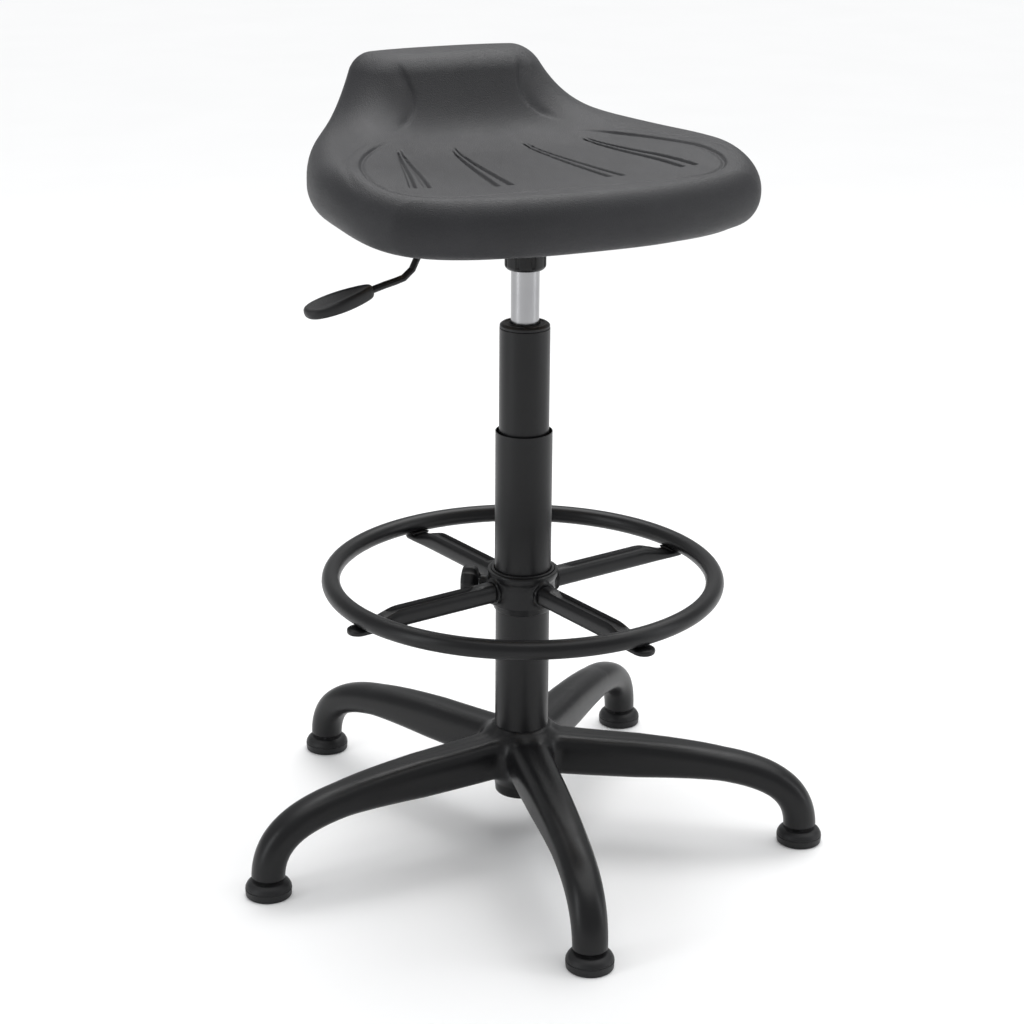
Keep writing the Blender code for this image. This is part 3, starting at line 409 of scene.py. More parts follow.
def snap_to(points, distance, rounds=4, reach=0.0025):
    """Newton's steps along the distance's slope, so that points end where the distance is zero."""
    step = 2e-5
    for _ in range(rounds):
        value = distance(points)
        slopes = [(distance(points + step * axis) - value) / step for axis in np.eye(3)]
        slope = np.stack(slopes, axis=1)
        steep = np.maximum((slope * slope).sum(axis=1), 0.1)
        move = (value / steep)[:, None] * slope
        size = np.maximum(np.linalg.norm(move, axis=1, keepdims=True), 1e-9)
        points = points - move * np.minimum(1.0, reach / size)
    return points


def apply_modifier(piece, kind, **settings):
    """Adds a modifier, applies it and leaves the piece with its result."""
    modifier = piece.modifiers.new(kind.lower(), kind)
    for key, value in settings.items():
        setattr(modifier, key, value)
    graph = bpy.context.evaluated_depsgraph_get()
    result = bpy.data.meshes.new_from_object(piece.evaluated_get(graph))
    piece.modifiers.clear()
    piece.data = result


def joined_object(name, parts):
    """An object that holds several meshes side by side, not yet fused."""
    joined = bmesh.new()
    for part in parts:
        joined.from_mesh(part)
    mesh = bpy.data.meshes.new(name)
    joined.to_mesh(mesh)
    joined.free()
    return add_object(name, mesh)


def cast_mesh(name, rough_meshes, voxel, distance, cutters):
    """One casting: rough shapes are fused at an even grid, drawn on to a smooth distance, then bored."""
    piece = joined_object(name, rough_meshes)
    apply_modifier(piece, "REMESH", mode="VOXEL", voxel_size=voxel)
    points = np.empty(len(piece.data.vertices) * 3, np.float32)
    piece.data.vertices.foreach_get("co", points)
    snapped = snap_to(points.reshape(-1, 3).astype(float), distance)
    piece.data.vertices.foreach_set("co", snapped.astype(np.float32).ravel())
    piece.data.update()
    tool = joined_object(name + "_tools", cutters)
    apply_modifier(piece, "BOOLEAN", operation="DIFFERENCE", solver="EXACT", object=tool)
    result = piece.data
    bpy.data.objects.remove(tool)
    bpy.data.objects.remove(piece)
    result.shade_smooth()
    result.set_sharp_from_angle(angle=math.radians(40.0))
    return result


# --- seat ---------------------------------------------------------------------------------------

SEAT_FRONT_Y = -0.160
SEAT_BACK_Y = 0.223
SEAT_WIDEST = 0.217
SEAT_NARROWEST = 0.144
SEAT_NARROWS_Y = (-0.020, 0.240)
SEAT_FRONT_TUCK = 0.034
SEAT_FRONT_TUCK_Y = (-0.165, -0.115)
SEAT_SIDE_POWER = 2.8
SEAT_END_POWER = 4.4
SEAT_RIM_Z = 0.660
SEAT_CREST_Z = 0.787
SEAT_PANEL_Z = 0.703
SEAT_EDGE_R = 0.027
SEAT_CREST_R = 0.017
SEAT_FRONT_EASE = 1.3
SEAT_FRONT_DROP = 0.002
SEAT_UNDER_DROP = 0.017
SEAT_SIDE_LIP = 0.015
SEAT_RISE_START = (0.118, 0.150)
SEAT_RISE_SLOPE = (2.1, 0.08)
SEAT_RISE_BEND = (0.026, 0.096)


def seat_half_width(y):
    """Half the seat's width: even in front, eased in towards the back, and tucked in at the front corners."""
    narrowing = (SEAT_WIDEST - SEAT_NARROWEST) * smooth_step(*SEAT_NARROWS_Y, y)
    tuck = SEAT_FRONT_TUCK * (1.0 - smooth_step(*SEAT_FRONT_TUCK_Y, y))
    return SEAT_WIDEST - narrowing - tuck


def seat_outline(x, y):
    """1 on the seat's outline and less inside: a superellipse of varying width."""
    along = (2 * y - SEAT_FRONT_Y - SEAT_BACK_Y) / (SEAT_BACK_Y - SEAT_FRONT_Y)
    return (np.abs(x) / seat_half_width(y)) ** SEAT_SIDE_POWER + np.abs(along) ** SEAT_END_POWER


def seat_depth_inside(x, y):
    """How far a point is inside the outline: the outline's fourth root over its own slope."""
    step = 1e-4
    value = seat_outline(x, y) ** 0.25
    slope_x = (seat_outline(x + step, y) ** 0.25 - seat_outline(x - step, y) ** 0.25) / (2 * step)
    slope_y = (seat_outline(x, y + step) ** 0.25 - seat_outline(x, y - step) ** 0.25) / (2 * step)
    return (1.0 - value) / np.maximum(np.hypot(slope_x, slope_y), 1e-6)


def seat_top(x, y):
    """Height of the top: a level panel that sweeps up into the back, sooner and more gently at the sides."""
    to_side = smooth_step(0.30, 1.0, np.abs(x) / seat_half_width(y))
    start, slope, bend = (
        middle + (side - middle) * to_side
        for middle, side in (SEAT_RISE_START, SEAT_RISE_SLOPE, SEAT_RISE_BEND)
    )
    beyond = y - start
    rise = slope * (beyond + np.sqrt(beyond * beyond + bend * bend)) / 2 - slope * bend * bend / 0.8
    lip = SEAT_SIDE_LIP * to_side * smooth_step(-0.14, -0.02, y)
    return SEAT_PANEL_Z + rise + lip - SEAT_FRONT_DROP * (1.0 - smooth_step(-0.20, -0.10, y))


def seat_underside(y):
    """Height of the underside: it hangs lower towards the front edge."""
    return SEAT_RIM_Z - SEAT_UNDER_DROP * smooth_step(0.0, 0.19, -y)


def seat_field(points):
    """Zero on the seat's skin: top, side, underside and crest, met with round edges."""
    x, y, z = points.T
    step = 1e-4
    top = seat_top(x, y)
    slope = np.hypot(seat_top(x + step, y) - top, seat_top(x, y + step) - top) / step
    side_share = 1.0 - (1.0 - SEAT_FRONT_EASE) * (1.0 - smooth_step(-0.20, 0.0, y))
    sides = np.stack(
        [
            (z - top) / np.sqrt(1.0 + slope * slope),
            -seat_depth_inside(x, y) * side_share,
            seat_underside(y) - z,
            z - SEAT_CREST_Z,
        ]
    )
    radius = SEAT_EDGE_R + (SEAT_CREST_R - SEAT_EDGE_R) * smooth_step(0.04, 0.16, y)
    outside = np.maximum(sides + radius, 0.0)
    return np.minimum(-radius, sides.max(axis=0)) + np.sqrt((outside * outside).sum(axis=0))


PANEL_MIDDLE_X = -0.006
GROOVE_SPREAD = 0.0072
GROOVES = (((0.058, -0.087), (0.038, 0.078)), ((0.139, -0.082), (0.098, 0.068)))


def tapered_groove(x, y, start, end, half_width):
    """1 in the middle of a groove from start to end and 0 beyond its half-width: square and full where it
    starts, and running out to a point where it ends."""
    along = np.subtract(end, start)
    length = np.hypot(*along)
    t = ((x - start[0]) * along[0] + (y - start[1]) * along[1]) / length**2
    off = np.abs((x - start[0]) * along[1] - (y - start[1]) * along[0]) / length
    taper = 1.0 - 0.85 * np.clip(t, 0.0, 1.0) ** 1.5
    wall = 1.0 - smooth_step(0.25, 1.0, off / (half_width * taper))
    return wall * smooth_step(0.0, 0.025, t) * (1.0 - smooth_step(0.93, 1.0, t)) * taper**0.35


def panel_loop(x, y):
    """Distance from the moulded line round the sitting panel, a shield that narrows to the back:
    negative inside it."""
    middle, half_length = -0.0105, 0.1105
    t = (y - middle) / half_length
    width = np.maximum(0.167 - 0.042 * t - 0.034 * t * t, 0.03)
    step = 1e-4

    def level(px, py):
        return ((np.abs(px) / width) ** 4.2 + np.abs((py - middle) / half_length) ** 5.0 + 1e-9) ** 0.2

    value = level(x, y)
    slope = np.hypot(level(x + step, y) - value, level(x, y + step) - value) / step
    return (value - 1.0) / np.maximum(slope, 1.5)


def back_crease(x, z):
    """Distance across the crease on either side of the back, negative towards the middle: a line 60 mm
    out that leans outwards above its waist and curls out below it."""
    waist_z, foot_z = 0.755, 0.722
    below = np.maximum(waist_z - z, 0.0) / (waist_z - foot_z)
    above = np.maximum(z - waist_z, 0.0)
    return np.abs(x) - (0.060 + 0.025 * below**3 + 0.25 * above)


def seat_relief(points):
    """Depth of the moulded lines below the skin: ventilation grooves, the panel's loop and the creases."""
    settings = bpy.context.scene.stool_seat
    x, y, z = points.T
    side = np.abs(x - PANEL_MIDDLE_X)
    half_width = settings.groove_width / 2
    grooves = 0.0 * x
    for front, back in GROOVES:
        for shift in (-GROOVE_SPREAD, GROOVE_SPREAD):
            end = (back[0] + shift * 0.30, back[1] - 0.004 * (shift > 0))
            start = (front[0] + shift, front[1])
            grooves = np.maximum(grooves, tapered_groove(side, y, start, end, half_width))
    on_top = smooth_step(SEAT_PANEL_Z - 0.014, SEAT_PANEL_Z - 0.008, z)
    loop = panel_loop(side, y)
    near_back = 1.0 - smooth_step(0.045, 0.085, y)
    line = np.exp(-((loop / 0.0023) ** 2)) * near_back
    sunk = 0.0013 * (1.0 - smooth_step(-0.004, 0.003, loop)) * near_back
    outer = np.exp(-(((loop - 0.0165) / 0.0028) ** 2)) * smooth_step(0.120, 0.150, side)
    outer = outer * (1.0 - smooth_step(0.055, 0.090, y)) * smooth_step(-0.090, -0.050, y)
    across = back_crease(x, z)
    slack = np.where(across < 0, 0.0030, 0.0090)
    crease = np.exp(-((across / slack) ** 2)) * smooth_step(0.085, 0.105, y) * smooth_step(0.720, 0.730, z)
    crease = crease * (1.0 - smooth_step(0.768, 0.783, z)) * (1.0 - smooth_step(0.185, 0.200, y))
    panel = settings.groove_depth * grooves + 0.0022 * line + sunk + 0.0007 * outer
    return panel * on_top + 0.0017 * crease


def seat_grid(count, rows, inset=0.022):
    """The skin's points, a square grid drawn to the outline for the top and then rings down the rim,
    and the grid places along the top's border."""
    span = np.linspace(-1.0, 1.0, count)
    u, v = np.meshgrid(span, span, indexing="ij")
    reach = np.maximum(np.maximum(np.abs(u), np.abs(v)), 1e-9)
    corner = np.maximum((np.abs(u) / reach) ** 4 + (np.abs(v) / reach) ** 4, 1.0) ** -0.25
    pull = 1.0 + (corner - 1.0) * reach**2
    half_length = (SEAT_BACK_Y - SEAT_FRONT_Y) / 2 - inset
    y = (SEAT_BACK_Y + SEAT_FRONT_Y) / 2 + v * pull * half_length
    x = u * pull * (seat_half_width(y) - inset)
    top = np.stack([x, y, np.minimum(seat_top(x, y), SEAT_CREST_Z)], axis=2)
    last = count - 1
    walk = np.arange(last)
    still = np.full(last, last)
    loop_i = np.concatenate([walk, still, still - walk, 0 * walk])
    loop_j = np.concatenate([0 * walk, walk, still, still - walk])
    border = top[loop_i, loop_j]
    ahead = np.roll(border, -1, axis=0) - np.roll(border, 1, axis=0)
    outwards = np.stack([ahead[:, 1], -ahead[:, 0]], axis=1)
    outwards /= np.linalg.norm(outwards, axis=1, keepdims=True)
    turn = np.pi * np.arange(1, rows + 1)[:, None] / rows
    under = seat_underside(border[:, 1])
    height = under + (border[:, 2] - under) * (1 + np.cos(turn)) / 2
    flat = border[:, :2] + outwards * (inset * np.sin(turn))[:, :, None]
    rim = np.concatenate([flat, height[:, :, None]], axis=2)
    skin = np.concatenate([top.reshape(-1, 3), rim.reshape(-1, 3)])
    return skin, np.stack([loop_i, loop_j], axis=1)


def vertex_normals(points, quads):
    """Unit normals at the points: the sum of the diagonals' cross products of the faces around."""
    first = points[quads[:, 2]] - points[quads[:, 0]]
    second = points[quads[:, 3]] - points[quads[:, 1]]
    face = np.cross(first, second)
    total = np.zeros_like(points)
    for corner in range(4):
        np.add.at(total, quads[:, corner], face)
    return total / np.maximum(np.linalg.norm(total, axis=1, keepdims=True), 1e-12)


def ring_quads(rings):
    """Faces between closed rings, given as rows of point numbers."""
    nexts = np.roll(rings, -1, axis=1)
    return np.stack([rings[:-1], rings[1:], nexts[1:], nexts[:-1]], axis=-1).reshape(-1, 4)


def seat_mesh():
    """The moulded seat: skin, relief pressed in along the normals, and a pocket below for the board."""
    settings = bpy.context.scene.stool_seat
    count, rows = settings.grid_count, 28
    skin, loop = seat_grid(count, rows)
    skin = snap_to(skin, seat_field, rounds=9, reach=0.02)
    around = len(loop)
    top_quads = grid_quads(count, count, wrap_columns=False)
    edge = loop[:, 0] * count + loop[:, 1]
    rings = np.concatenate([edge[None], count * count + np.arange(rows * around).reshape(rows, around)])
    quads = np.concatenate([top_quads[:, ::-1], ring_quads(rings)])
    normals = vertex_normals(skin, quads)
    if normals[count * count // 2, 2] < 0:
        normals = -normals
    skin = skin - normals * seat_relief(skin)[:, None]
    last_ring = skin[-around:].copy()
    last_ring[:, 2] = seat_underside(last_ring[:, 1])
    skin[-around:] = last_ring
    board_low, board_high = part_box("seat_board")
    middle = (board_low + board_high) / 2
    half_x = (board_high.x - board_low.x) / 2 + 0.0016
    half_y = (board_high.y - board_low.y) / 2 + 0.0016
    from_middle = last_ring[:, :2] - np.array([middle.x, middle.y])
    heading = from_middle / np.linalg.norm(from_middle, axis=1, keepdims=True)
    size = ((np.abs(heading[:, 0]) / half_x) ** 5 + (np.abs(heading[:, 1]) / half_y) ** 5) ** -0.2
    mouth = np.array([middle.x, middle.y]) + heading * size[:, None]
    ceiling = board_high.z + 0.0004
    inner = []
    for share in (0.25, 0.5, 0.75, 0.97, 1.0):
        flat = last_ring[:, :2] + (mouth - last_ring[:, :2]) * share
        inner.append(np.column_stack([flat, seat_underside(flat[:, 1])]))
    for height in (SEAT_RIM_Z + 0.004, ceiling - 0.001, ceiling):
        inner.append(np.column_stack([mouth, np.full(around, height)]))
    for share in (0.97, 0.6, 0.25, 0.0):
        flat = np.array([middle.x, middle.y]) + heading * (size * share)[:, None]
        inner.append(np.column_stack([flat, np.full(around, ceiling)]))
    under = np.concatenate(inner)
    rings = np.concatenate([rings[-1:], len(skin) + np.arange(len(under)).reshape(-1, around)])
    quads = np.concatenate([quads, ring_quads(rings)])
    mesh = quad_mesh("seat", np.concatenate([skin, under]), quads)
    return close_mesh(mesh, crease=50.0)


# --- base ---------------------------------------------------------------------------------------

ARM_COUNT = 5
ARM_FIRST_ANGLE = math.radians(-102.9)
ARM_ROUTE = ((0.020, 0.0918), (0.160, 0.0830), (0.291, 0.1030), (0.291, 0.0165))
ARM_HALF_WIDTHS = (0.0225, 0.0208, 0.0190, 0.0181, 0.0168)
ARM_HALF_HEIGHTS = (0.0228, 0.0215, 0.0165, 0.0160, 0.0168)
ARM_POWERS = (3.2, 2.9, 2.5, 2.2, 2.0)
ARM_SAMPLES = 220


def cubic(points, t):
    """A cubic Bezier curve at an array of parameters."""
    a, b, c, d = (np.array(p, float) for p in points)
    t = t[:, None]
    return a * (1 - t) ** 3 + 3 * b * t * (1 - t) ** 2 + 3 * c * t**2 * (1 - t) + d * t**3


def arm_curve():
    """Samples of the arm's middle line with its headings and its section's sizes."""
    t = np.linspace(0.0, 1.0, ARM_SAMPLES)
    line = cubic(ARM_ROUTE, t)
    heading = np.gradient(line, axis=0)
    heading /= np.linalg.norm(heading, axis=1, keepdims=True)
    stations = np.linspace(0.0, 1.0, len(ARM_POWERS))
    width = np.interp(t, stations, ARM_HALF_WIDTHS)
    height = np.interp(t, stations, ARM_HALF_HEIGHTS)
    power = np.interp(t, stations, ARM_POWERS)
    return line, heading, width, height, power


def arm_distance(u, v, z, curve):
    """Distance from an arm along +u: an oval section about the nearest point of the middle line,
    with a shallow channel along the top that dies out towards the foot."""
    line, heading, width, height, power = curve
    nearest = np.empty(len(u), int)
    for start in range(0, len(u), 20000):
        part = slice(start, start + 20000)
        gap = (u[part, None] - line[:, 0]) ** 2 + (z[part, None] - line[:, 1]) ** 2
        nearest[part] = gap.argmin(axis=1)
    off_u, off_z = u - line[nearest, 0], z - line[nearest, 1]
    beyond = off_u * heading[nearest, 0] + off_z * heading[nearest, 1]
    above = off_z * heading[nearest, 0] - off_u * heading[nearest, 1]
    share = nearest / (ARM_SAMPLES - 1)
    channel = 0.0016 * (1.0 - smooth_step(0.15, 0.55, share)) * np.exp(-((v / 0.0085) ** 2)) * (above > 0)
    wide, high, power = width[nearest], height[nearest] - channel, power[nearest]
    level = ((np.abs(v) / wide) ** power + (np.abs(above) / high) ** power + 1e-12) ** (1.0 / power)
    side = (level - 1.0) * np.minimum(wide, high)
    end = np.where(nearest == ARM_SAMPLES - 1, beyond, -1.0)
    return smooth_cut(side, end, 0.0012)


HUB_HEIGHTS = (0.044, 0.0455, 0.056, 0.062, 0.076, 0.098, 0.108, 0.1166, 0.1176)
HUB_RADII = (0.0255, 0.0268, 0.0276, 0.0300, 0.0350, 0.0350, 0.0315, 0.0277, 0.0270)


def star_distance(points, curve):
    """Distance from the cast star: the two nearest of five arms and the hub, run together with fillets."""
    x, y, z = points.T
    radius = np.hypot(x, y)
    sector = math.tau / ARM_COUNT
    turn = np.arctan2(y, x) - ARM_FIRST_ANGLE
    local = np.abs(turn - sector * np.round(turn / sector))
    own = arm_distance(radius * np.cos(local), radius * np.sin(local), z, curve)
    far = local - sector
    other = arm_distance(radius * np.cos(far), radius * np.sin(far), z, curve)
    arms = smooth_union(own, other, 0.016)
    hub = radius - np.interp(z, HUB_HEIGHTS, HUB_RADII)
    hub = smooth_cut(hub, np.maximum(z - HUB_HEIGHTS[-1], HUB_HEIGHTS[0] - z), 0.0015)
    return smooth_union(arms, hub, 0.014)


def oval_rings(line, side, up, width, height, power, sides=24):
    """Superellipse rings about the points of a line."""
    angle = np.linspace(0.0, math.tau, sides, endpoint=False)
    c, s = np.cos(angle), np.sin(angle)
    across = np.sign(c) * np.abs(c) ** (2.0 / power[:, None]) * width[:, None]
    above = np.sign(s) * np.abs(s) ** (2.0 / power[:, None]) * height[:, None]
    return line[:, None] + across[:, :, None] * side[:, None] + above[:, :, None] * up[:, None]


def star_mesh():
    """The five-armed casting with its bore for the column and a hole above each glide."""
    curve = arm_curve()
    line, heading, width, height, power = (values[::12] for values in curve)
    middle = np.column_stack([line[:, 0], 0 * line[:, 0], line[:, 1]])
    side = np.tile((0.0, 1.0, 0.0), (len(middle), 1))
    up = np.column_stack([-heading[:, 1], 0 * line[:, 0], heading[:, 0]])
    rings = oval_rings(middle, side, up, width, height, power)
    rough = []
    for i in range(ARM_COUNT):
        points = turn_points(rings.reshape(-1, 3), ARM_FIRST_ANGLE + i * math.tau / ARM_COUNT)
        quads = grid_quads(len(middle), rings.shape[1])
        rough.append(close_mesh(quad_mesh("arm", points, quads), caps=True))
    hub = [(0.0, HUB_HEIGHTS[0])] + list(zip(HUB_RADII, HUB_HEIGHTS)) + [(0.0, HUB_HEIGHTS[-1])]
    rough.append(turned_mesh("hub", hub, steps=64, closed=False))
    bore = [(0.0, 0.039), (0.0242, 0.039), (0.0242, 0.050), (0.0256, 0.110), (0.0256, 0.1226), (0.0, 0.1226)]
    cutters = [turned_mesh("bore", bore, steps=96, closed=False, fillet=0.0001)]
    for i in range(ARM_COUNT):
        low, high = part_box(f"glide_stem_{i + 1}")
        centre = ((low.x + high.x) / 2, (low.y + high.y) / 2)
        hole = [(0.0, 0.006), (0.0055, 0.006), (0.0055, high.z + 0.001), (0.0, high.z + 0.001)]
        cutters.append(turned_mesh("stem_hole", hole, steps=24, centre=centre, closed=False, fillet=0.0001))
    return cast_mesh("star", rough, 0.0023, lambda points: star_distance(points, curve), cutters)


def glide_mesh(node):
    """A glide's foot: an upright wall with a thin line round it, and a domed shoulder up to the arm."""
    low, high, radius = box_and_radius(node)
    centre = ((low.x + high.x) / 2, (low.y + high.y) / 2)
    rim = 0.0085
    corners = [
        (0.0085, low.z, 0.0004),
        (radius - 0.0004, low.z, 0.0014),
        (radius, rim - 0.0012, 0.0003),
        (radius - 0.0008, rim - 0.0007, 0.0002),
        (radius - 0.0008, rim, 0.0002),
        (radius - 0.0002, rim + 0.0006, 0.0008),
        (radius - 0.0020, high.z - 0.0030, 0.0022),
        (radius - 0.0058, high.z, 0.0016),
        (0.0053, high.z, 0.0003),
        (0.0053, 0.0085, 0.0003),
        (0.0085, 0.0085, 0.0003),
    ]
    return turned_mesh(node + "_skin", corners, steps=112, centre=centre)


# --- column -------------------------------------------------------------------------------------


def tube_mesh(node, inner, edge=0.0007):
    """A plain tube of a node's size, with eased edges."""
    low, high, outer = box_and_radius(node)
    corners = [(outer, low.z, edge), (outer, high.z, edge)]
    corners += [(inner, high.z, edge / 2), (inner, low.z, edge / 2)]
    return turned_mesh(node + "_skin", corners, steps=160)


def outer_tube_mesh():
    """The column's tube, tapered where it is wedged in the hub, with a floor for the bearing."""
    low, high, outer = box_and_radius("outer_tube")
    corners = [
        (outer, high.z, 0.0006),
        (outer, 0.110, 0.004),
        (0.0234, low.z, 0.001),
        (0.0041, low.z, 0.0003),
        (0.0041, low.z + 0.003, 0.0003),
        (0.0216, low.z + 0.003, 0.001),
        (outer - 0.0018, 0.110, 0.004),
        (outer - 0.0018, high.z, 0.0003),
    ]
    return turned_mesh("outer_tube_skin", corners, steps=160)


def bush_mesh():
    """The plastic bush: its rim closes the tube with a chamfer and a raised lip, and has one small slot."""
    low, high, outer = box_and_radius("guide_bush")
    tube_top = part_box("outer_tube")[1].z
    corners = [
        (outer, tube_top + 0.0003, 0.0003),
        (outer, high.z - 0.0020, 0.0006),
        (outer - 0.0024, high.z - 0.0001, 0.0006),
        (0.0200, high.z - 0.0001, 0.0004),
        (0.0192, high.z - 0.0010, 0.0004),
        (0.0168, high.z - 0.0010, 0.0004),
        (0.0161, high.z, 0.0004),
        (0.0154, high.z, 0.0004),
        (0.0143, high.z - 0.0022, 0.0005),
        (0.0143, low.z, 0.0003),
        (outer - 0.0018, low.z, 0.0005),
        (outer - 0.0018, tube_top + 0.0003, 0.0002),
    ]

    def slot(points):
        radius, turn = polar(points)
        near = np.exp(-(((turn + 1.95) / 0.10) ** 4)) * np.exp(-(((radius - 0.0212) / 0.0012) ** 4))
        points[..., 2] -= 0.0012 * near * (points[..., 2] > high.z - 0.002)
        return points

    return turned_mesh("guide_bush_skin", corners, steps=180, shape=slot)


def cylinder_mesh():
    """The gas spring's ground cylinder, tapered at the top where the seat's socket takes it."""
    low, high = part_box("gas_cylinder")
    corners = [
        (0.0140, low.z, 0.0005),
        (0.0140, 0.600, 0.006),
        (0.0130, high.z - 0.001, 0.0005),
        (0.0120, high.z, 0.0003),
        (0.0038, high.z, 0.0002),
        (0.0038, 0.590, 0.0003),
        (0.0122, 0.590, 0.0003),
        (0.0122, low.z, 0.0003),
    ]
    return turned_mesh("gas_cylinder_skin", corners, steps=128)


def socket_mesh():
    """The taper socket under the seat: pressed with flat flutes, and rolled in at the mouth."""
    low, high, outer = box_and_radius("taper_socket")
    corners = [
        (outer - 0.0026, low.z, 0.0012),
        (outer, low.z + 0.0030, 0.0026),
        (outer, low.z + 0.012, 0.001),
        (outer, high.z, 0.0006),
        (0.0134, high.z, 0.0003),
        (0.0134, high.z - 0.0046, 0.0003),
        (0.0143, 0.600, 0.001),
        (0.0143, low.z, 0.0004),
    ]

    def flutes(points):
        radius, turn = polar(points)
        wave = np.cos(8 * turn + 0.4)
        above_lip = smooth_step(low.z + 0.002, low.z + 0.005, points[..., 2])
        depth = 0.0011 * smooth_step(0.55, 0.80, wave) * above_lip
        share = 1.0 - depth * (radius > outer - 0.001) / np.maximum(radius, 1e-6)
        points[..., 0] *= share
        points[..., 1] *= share
        return points

    return turned_mesh("taper_socket_skin", corners, steps=288, shape=flutes)


# --- foot ring ----------------------------------------------------------------------------------

SPOKE_ANGLES = [math.radians(a) for a in (10.0, 100.0, 190.0, 280.0)]
SPOKE_Z = 0.2725
SPOKE_START_R, SPOKE_TIP_R, SPOKE_TIP_LENGTH = 0.0395, 0.1960, 0.0113
SPOKE_SIDES = 56
KNOB_ANGLE = math.radians(145.0)


def ring_mesh():
    """The bent tube: a circle carried round a circle."""
    low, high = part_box("foot_ring")
    tube = (high.z - low.z) / 2 / math.cos(math.pi / 8)
    ring_z = (high.z + low.z) / 2
    middle = (high.x - low.x) / 2 - tube * math.cos(math.pi / 8)
    angle = np.linspace(0.0, math.tau, 44, endpoint=False)
    outline = np.column_stack([middle + tube * np.cos(angle), ring_z + tube * np.sin(angle)])
    points = turned_points(outline, 320).reshape(-1, 3)
    return close_mesh(quad_mesh("foot_ring_skin", points, grid_quads(44, 320, wrap_rows=True)), crease=60.0)


def spoke_mesh(node, angle):
    """A spoke along +X before it is turned: an oval tube with a channel pressed in its top, squeezed flat
    by an S-curve where it passes under the ring, and rounded off as a half circle at its tip."""
    tip = np.linspace(0.0, math.pi / 2, 15)[1:]
    shank = np.linspace(SPOKE_START_R, SPOKE_TIP_R, 90)
    reach = np.concatenate([shank, SPOKE_TIP_R + SPOKE_TIP_LENGTH * np.sin(tip)])
    round_off = np.concatenate([np.ones(len(shank)), np.maximum(np.cos(tip), 0.06)])
    flat = smooth_step(0.148, 0.190, reach)
    middle = SPOKE_Z + 0.0003 - 0.0047 * flat
    wide = (0.0100 + 0.0014 * flat) * round_off
    high = (0.0102 - 0.0061 * flat) * np.sqrt(round_off)
    line = np.column_stack([reach, 0 * reach, middle])
    side = np.tile((0.0, 1.0, 0.0), (len(reach), 1))
    up = np.tile((0.0, 0.0, 1.0), (len(reach), 1))
    rings = oval_rings(line, side, up, wide, high, np.full(len(reach), 2.7), sides=SPOKE_SIDES)
    across = np.abs(rings[..., 1] / wide[:, None])
    along = smooth_step(0.050, 0.066, reach) * (1.0 - smooth_step(0.150, 0.170, reach))
    channel = along[:, None] * (1.0 - smooth_step(0.42, 0.60, across)) * (rings[..., 2] > middle[:, None])
    rings[..., 2] -= 0.0042 * channel
    points = turn_points(rings.reshape(-1, 3), angle)
    mesh = quad_mesh(node + "_skin", points, grid_quads(len(reach), SPOKE_SIDES))
    return close_mesh(mesh, crease=50.0, caps=True)


def weld_mesh(name, angle):
    """A weld bead: a rippled ridge across a spoke, where the inside of the ring sits on it."""
    low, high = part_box("foot_ring")
    middle = (high.x - low.x) / 2 - (high.z - low.z) / 2
    across = np.linspace(-0.0102, 0.0102, 64)
    turn = np.linspace(0.0, math.tau, 14, endpoint=False)
    fade = np.sqrt(np.maximum(1.0 - (across / 0.0103) ** 2, 0.02))
    size = 0.0021 * fade * (1.0 + 0.10 * np.sin(across * 3200.0))
    radial = middle - 0.0068 + size[:, None] * np.cos(turn)
    height = 0.2732 + size[:, None] * np.sin(turn)
    points = np.stack([radial, across[:, None] + 0 * radial, height], axis=-1).reshape(-1, 3)
    mesh = quad_mesh(name, turn_points(points, angle), grid_quads(len(across), len(turn)))
    return close_mesh(mesh, crease=60.0, caps=True)


COLLAR_PROFILE = (
    (0.0283, 0.2484),
    (0.0290, 0.2492),
    (0.0315, 0.2552),
    (0.0323, 0.2562),
    (0.0326, 0.2600),
    (0.0326, 0.2760),
    (0.0335, 0.2815),
    (0.0354, 0.2850),
    (0.0361, 0.2885),
    (0.0359, 0.2905),
    (0.0353, 0.2912),
)
COLLAR_RADII, COLLAR_HEIGHTS = zip(*COLLAR_PROFILE)
SPOKE_BOSS_R, KNOB_BOSS_R = 0.0388, 0.0436


def collar_distance(points):
    """Distance from the collar: a turned body with a flared rim, and bosses with trumpet mouths."""
    x, y, z = points.T
    body = np.hypot(x, y) - np.interp(z, COLLAR_HEIGHTS, COLLAR_RADII)
    body = smooth_cut(body, np.maximum(z - COLLAR_HEIGHTS[-1], COLLAR_HEIGHTS[0] - z), 0.0008)
    bosses = [(angle, 0.0116, 0.0019, SPOKE_BOSS_R) for angle in SPOKE_ANGLES]
    bosses.append((KNOB_ANGLE, 0.0080, 0.0004, KNOB_BOSS_R))
    for angle, radius, mouth, reach in bosses:
        along = x * math.cos(angle) + y * math.sin(angle)
        across = y * math.cos(angle) - x * math.sin(angle)
        flare = radius + mouth * smooth_step(reach - 0.0055, reach - 0.0005, along)
        boss = np.hypot(across, z - SPOKE_Z) - flare
        boss = smooth_cut(boss, np.maximum(along - reach, -along), 0.0016)
        body = smooth_union(body, boss, 0.0050)
    return body


def lay_down(points, angle):
    """Points about the vertical axis laid at the spokes' height, pointing away from the column."""
    lying = np.stack([points[..., 2], points[..., 1], SPOKE_Z - points[..., 0]], axis=-1)
    return turn_points(lying.reshape(-1, 3), angle)


def lying_rod(name, angle, radius, start, end, steps=40):
    """A plain round bar that lies at the spokes' height, pointing away from the column."""
    corners = [(0.0, start), (radius, start), (radius, end), (0.0, end)]
    outline = rounded_outline(corners, 0.0001, closed=False)
    points = lay_down(turned_points(outline, steps), angle)
    return close_mesh(quad_mesh(name, points, grid_quads(len(outline), steps)))


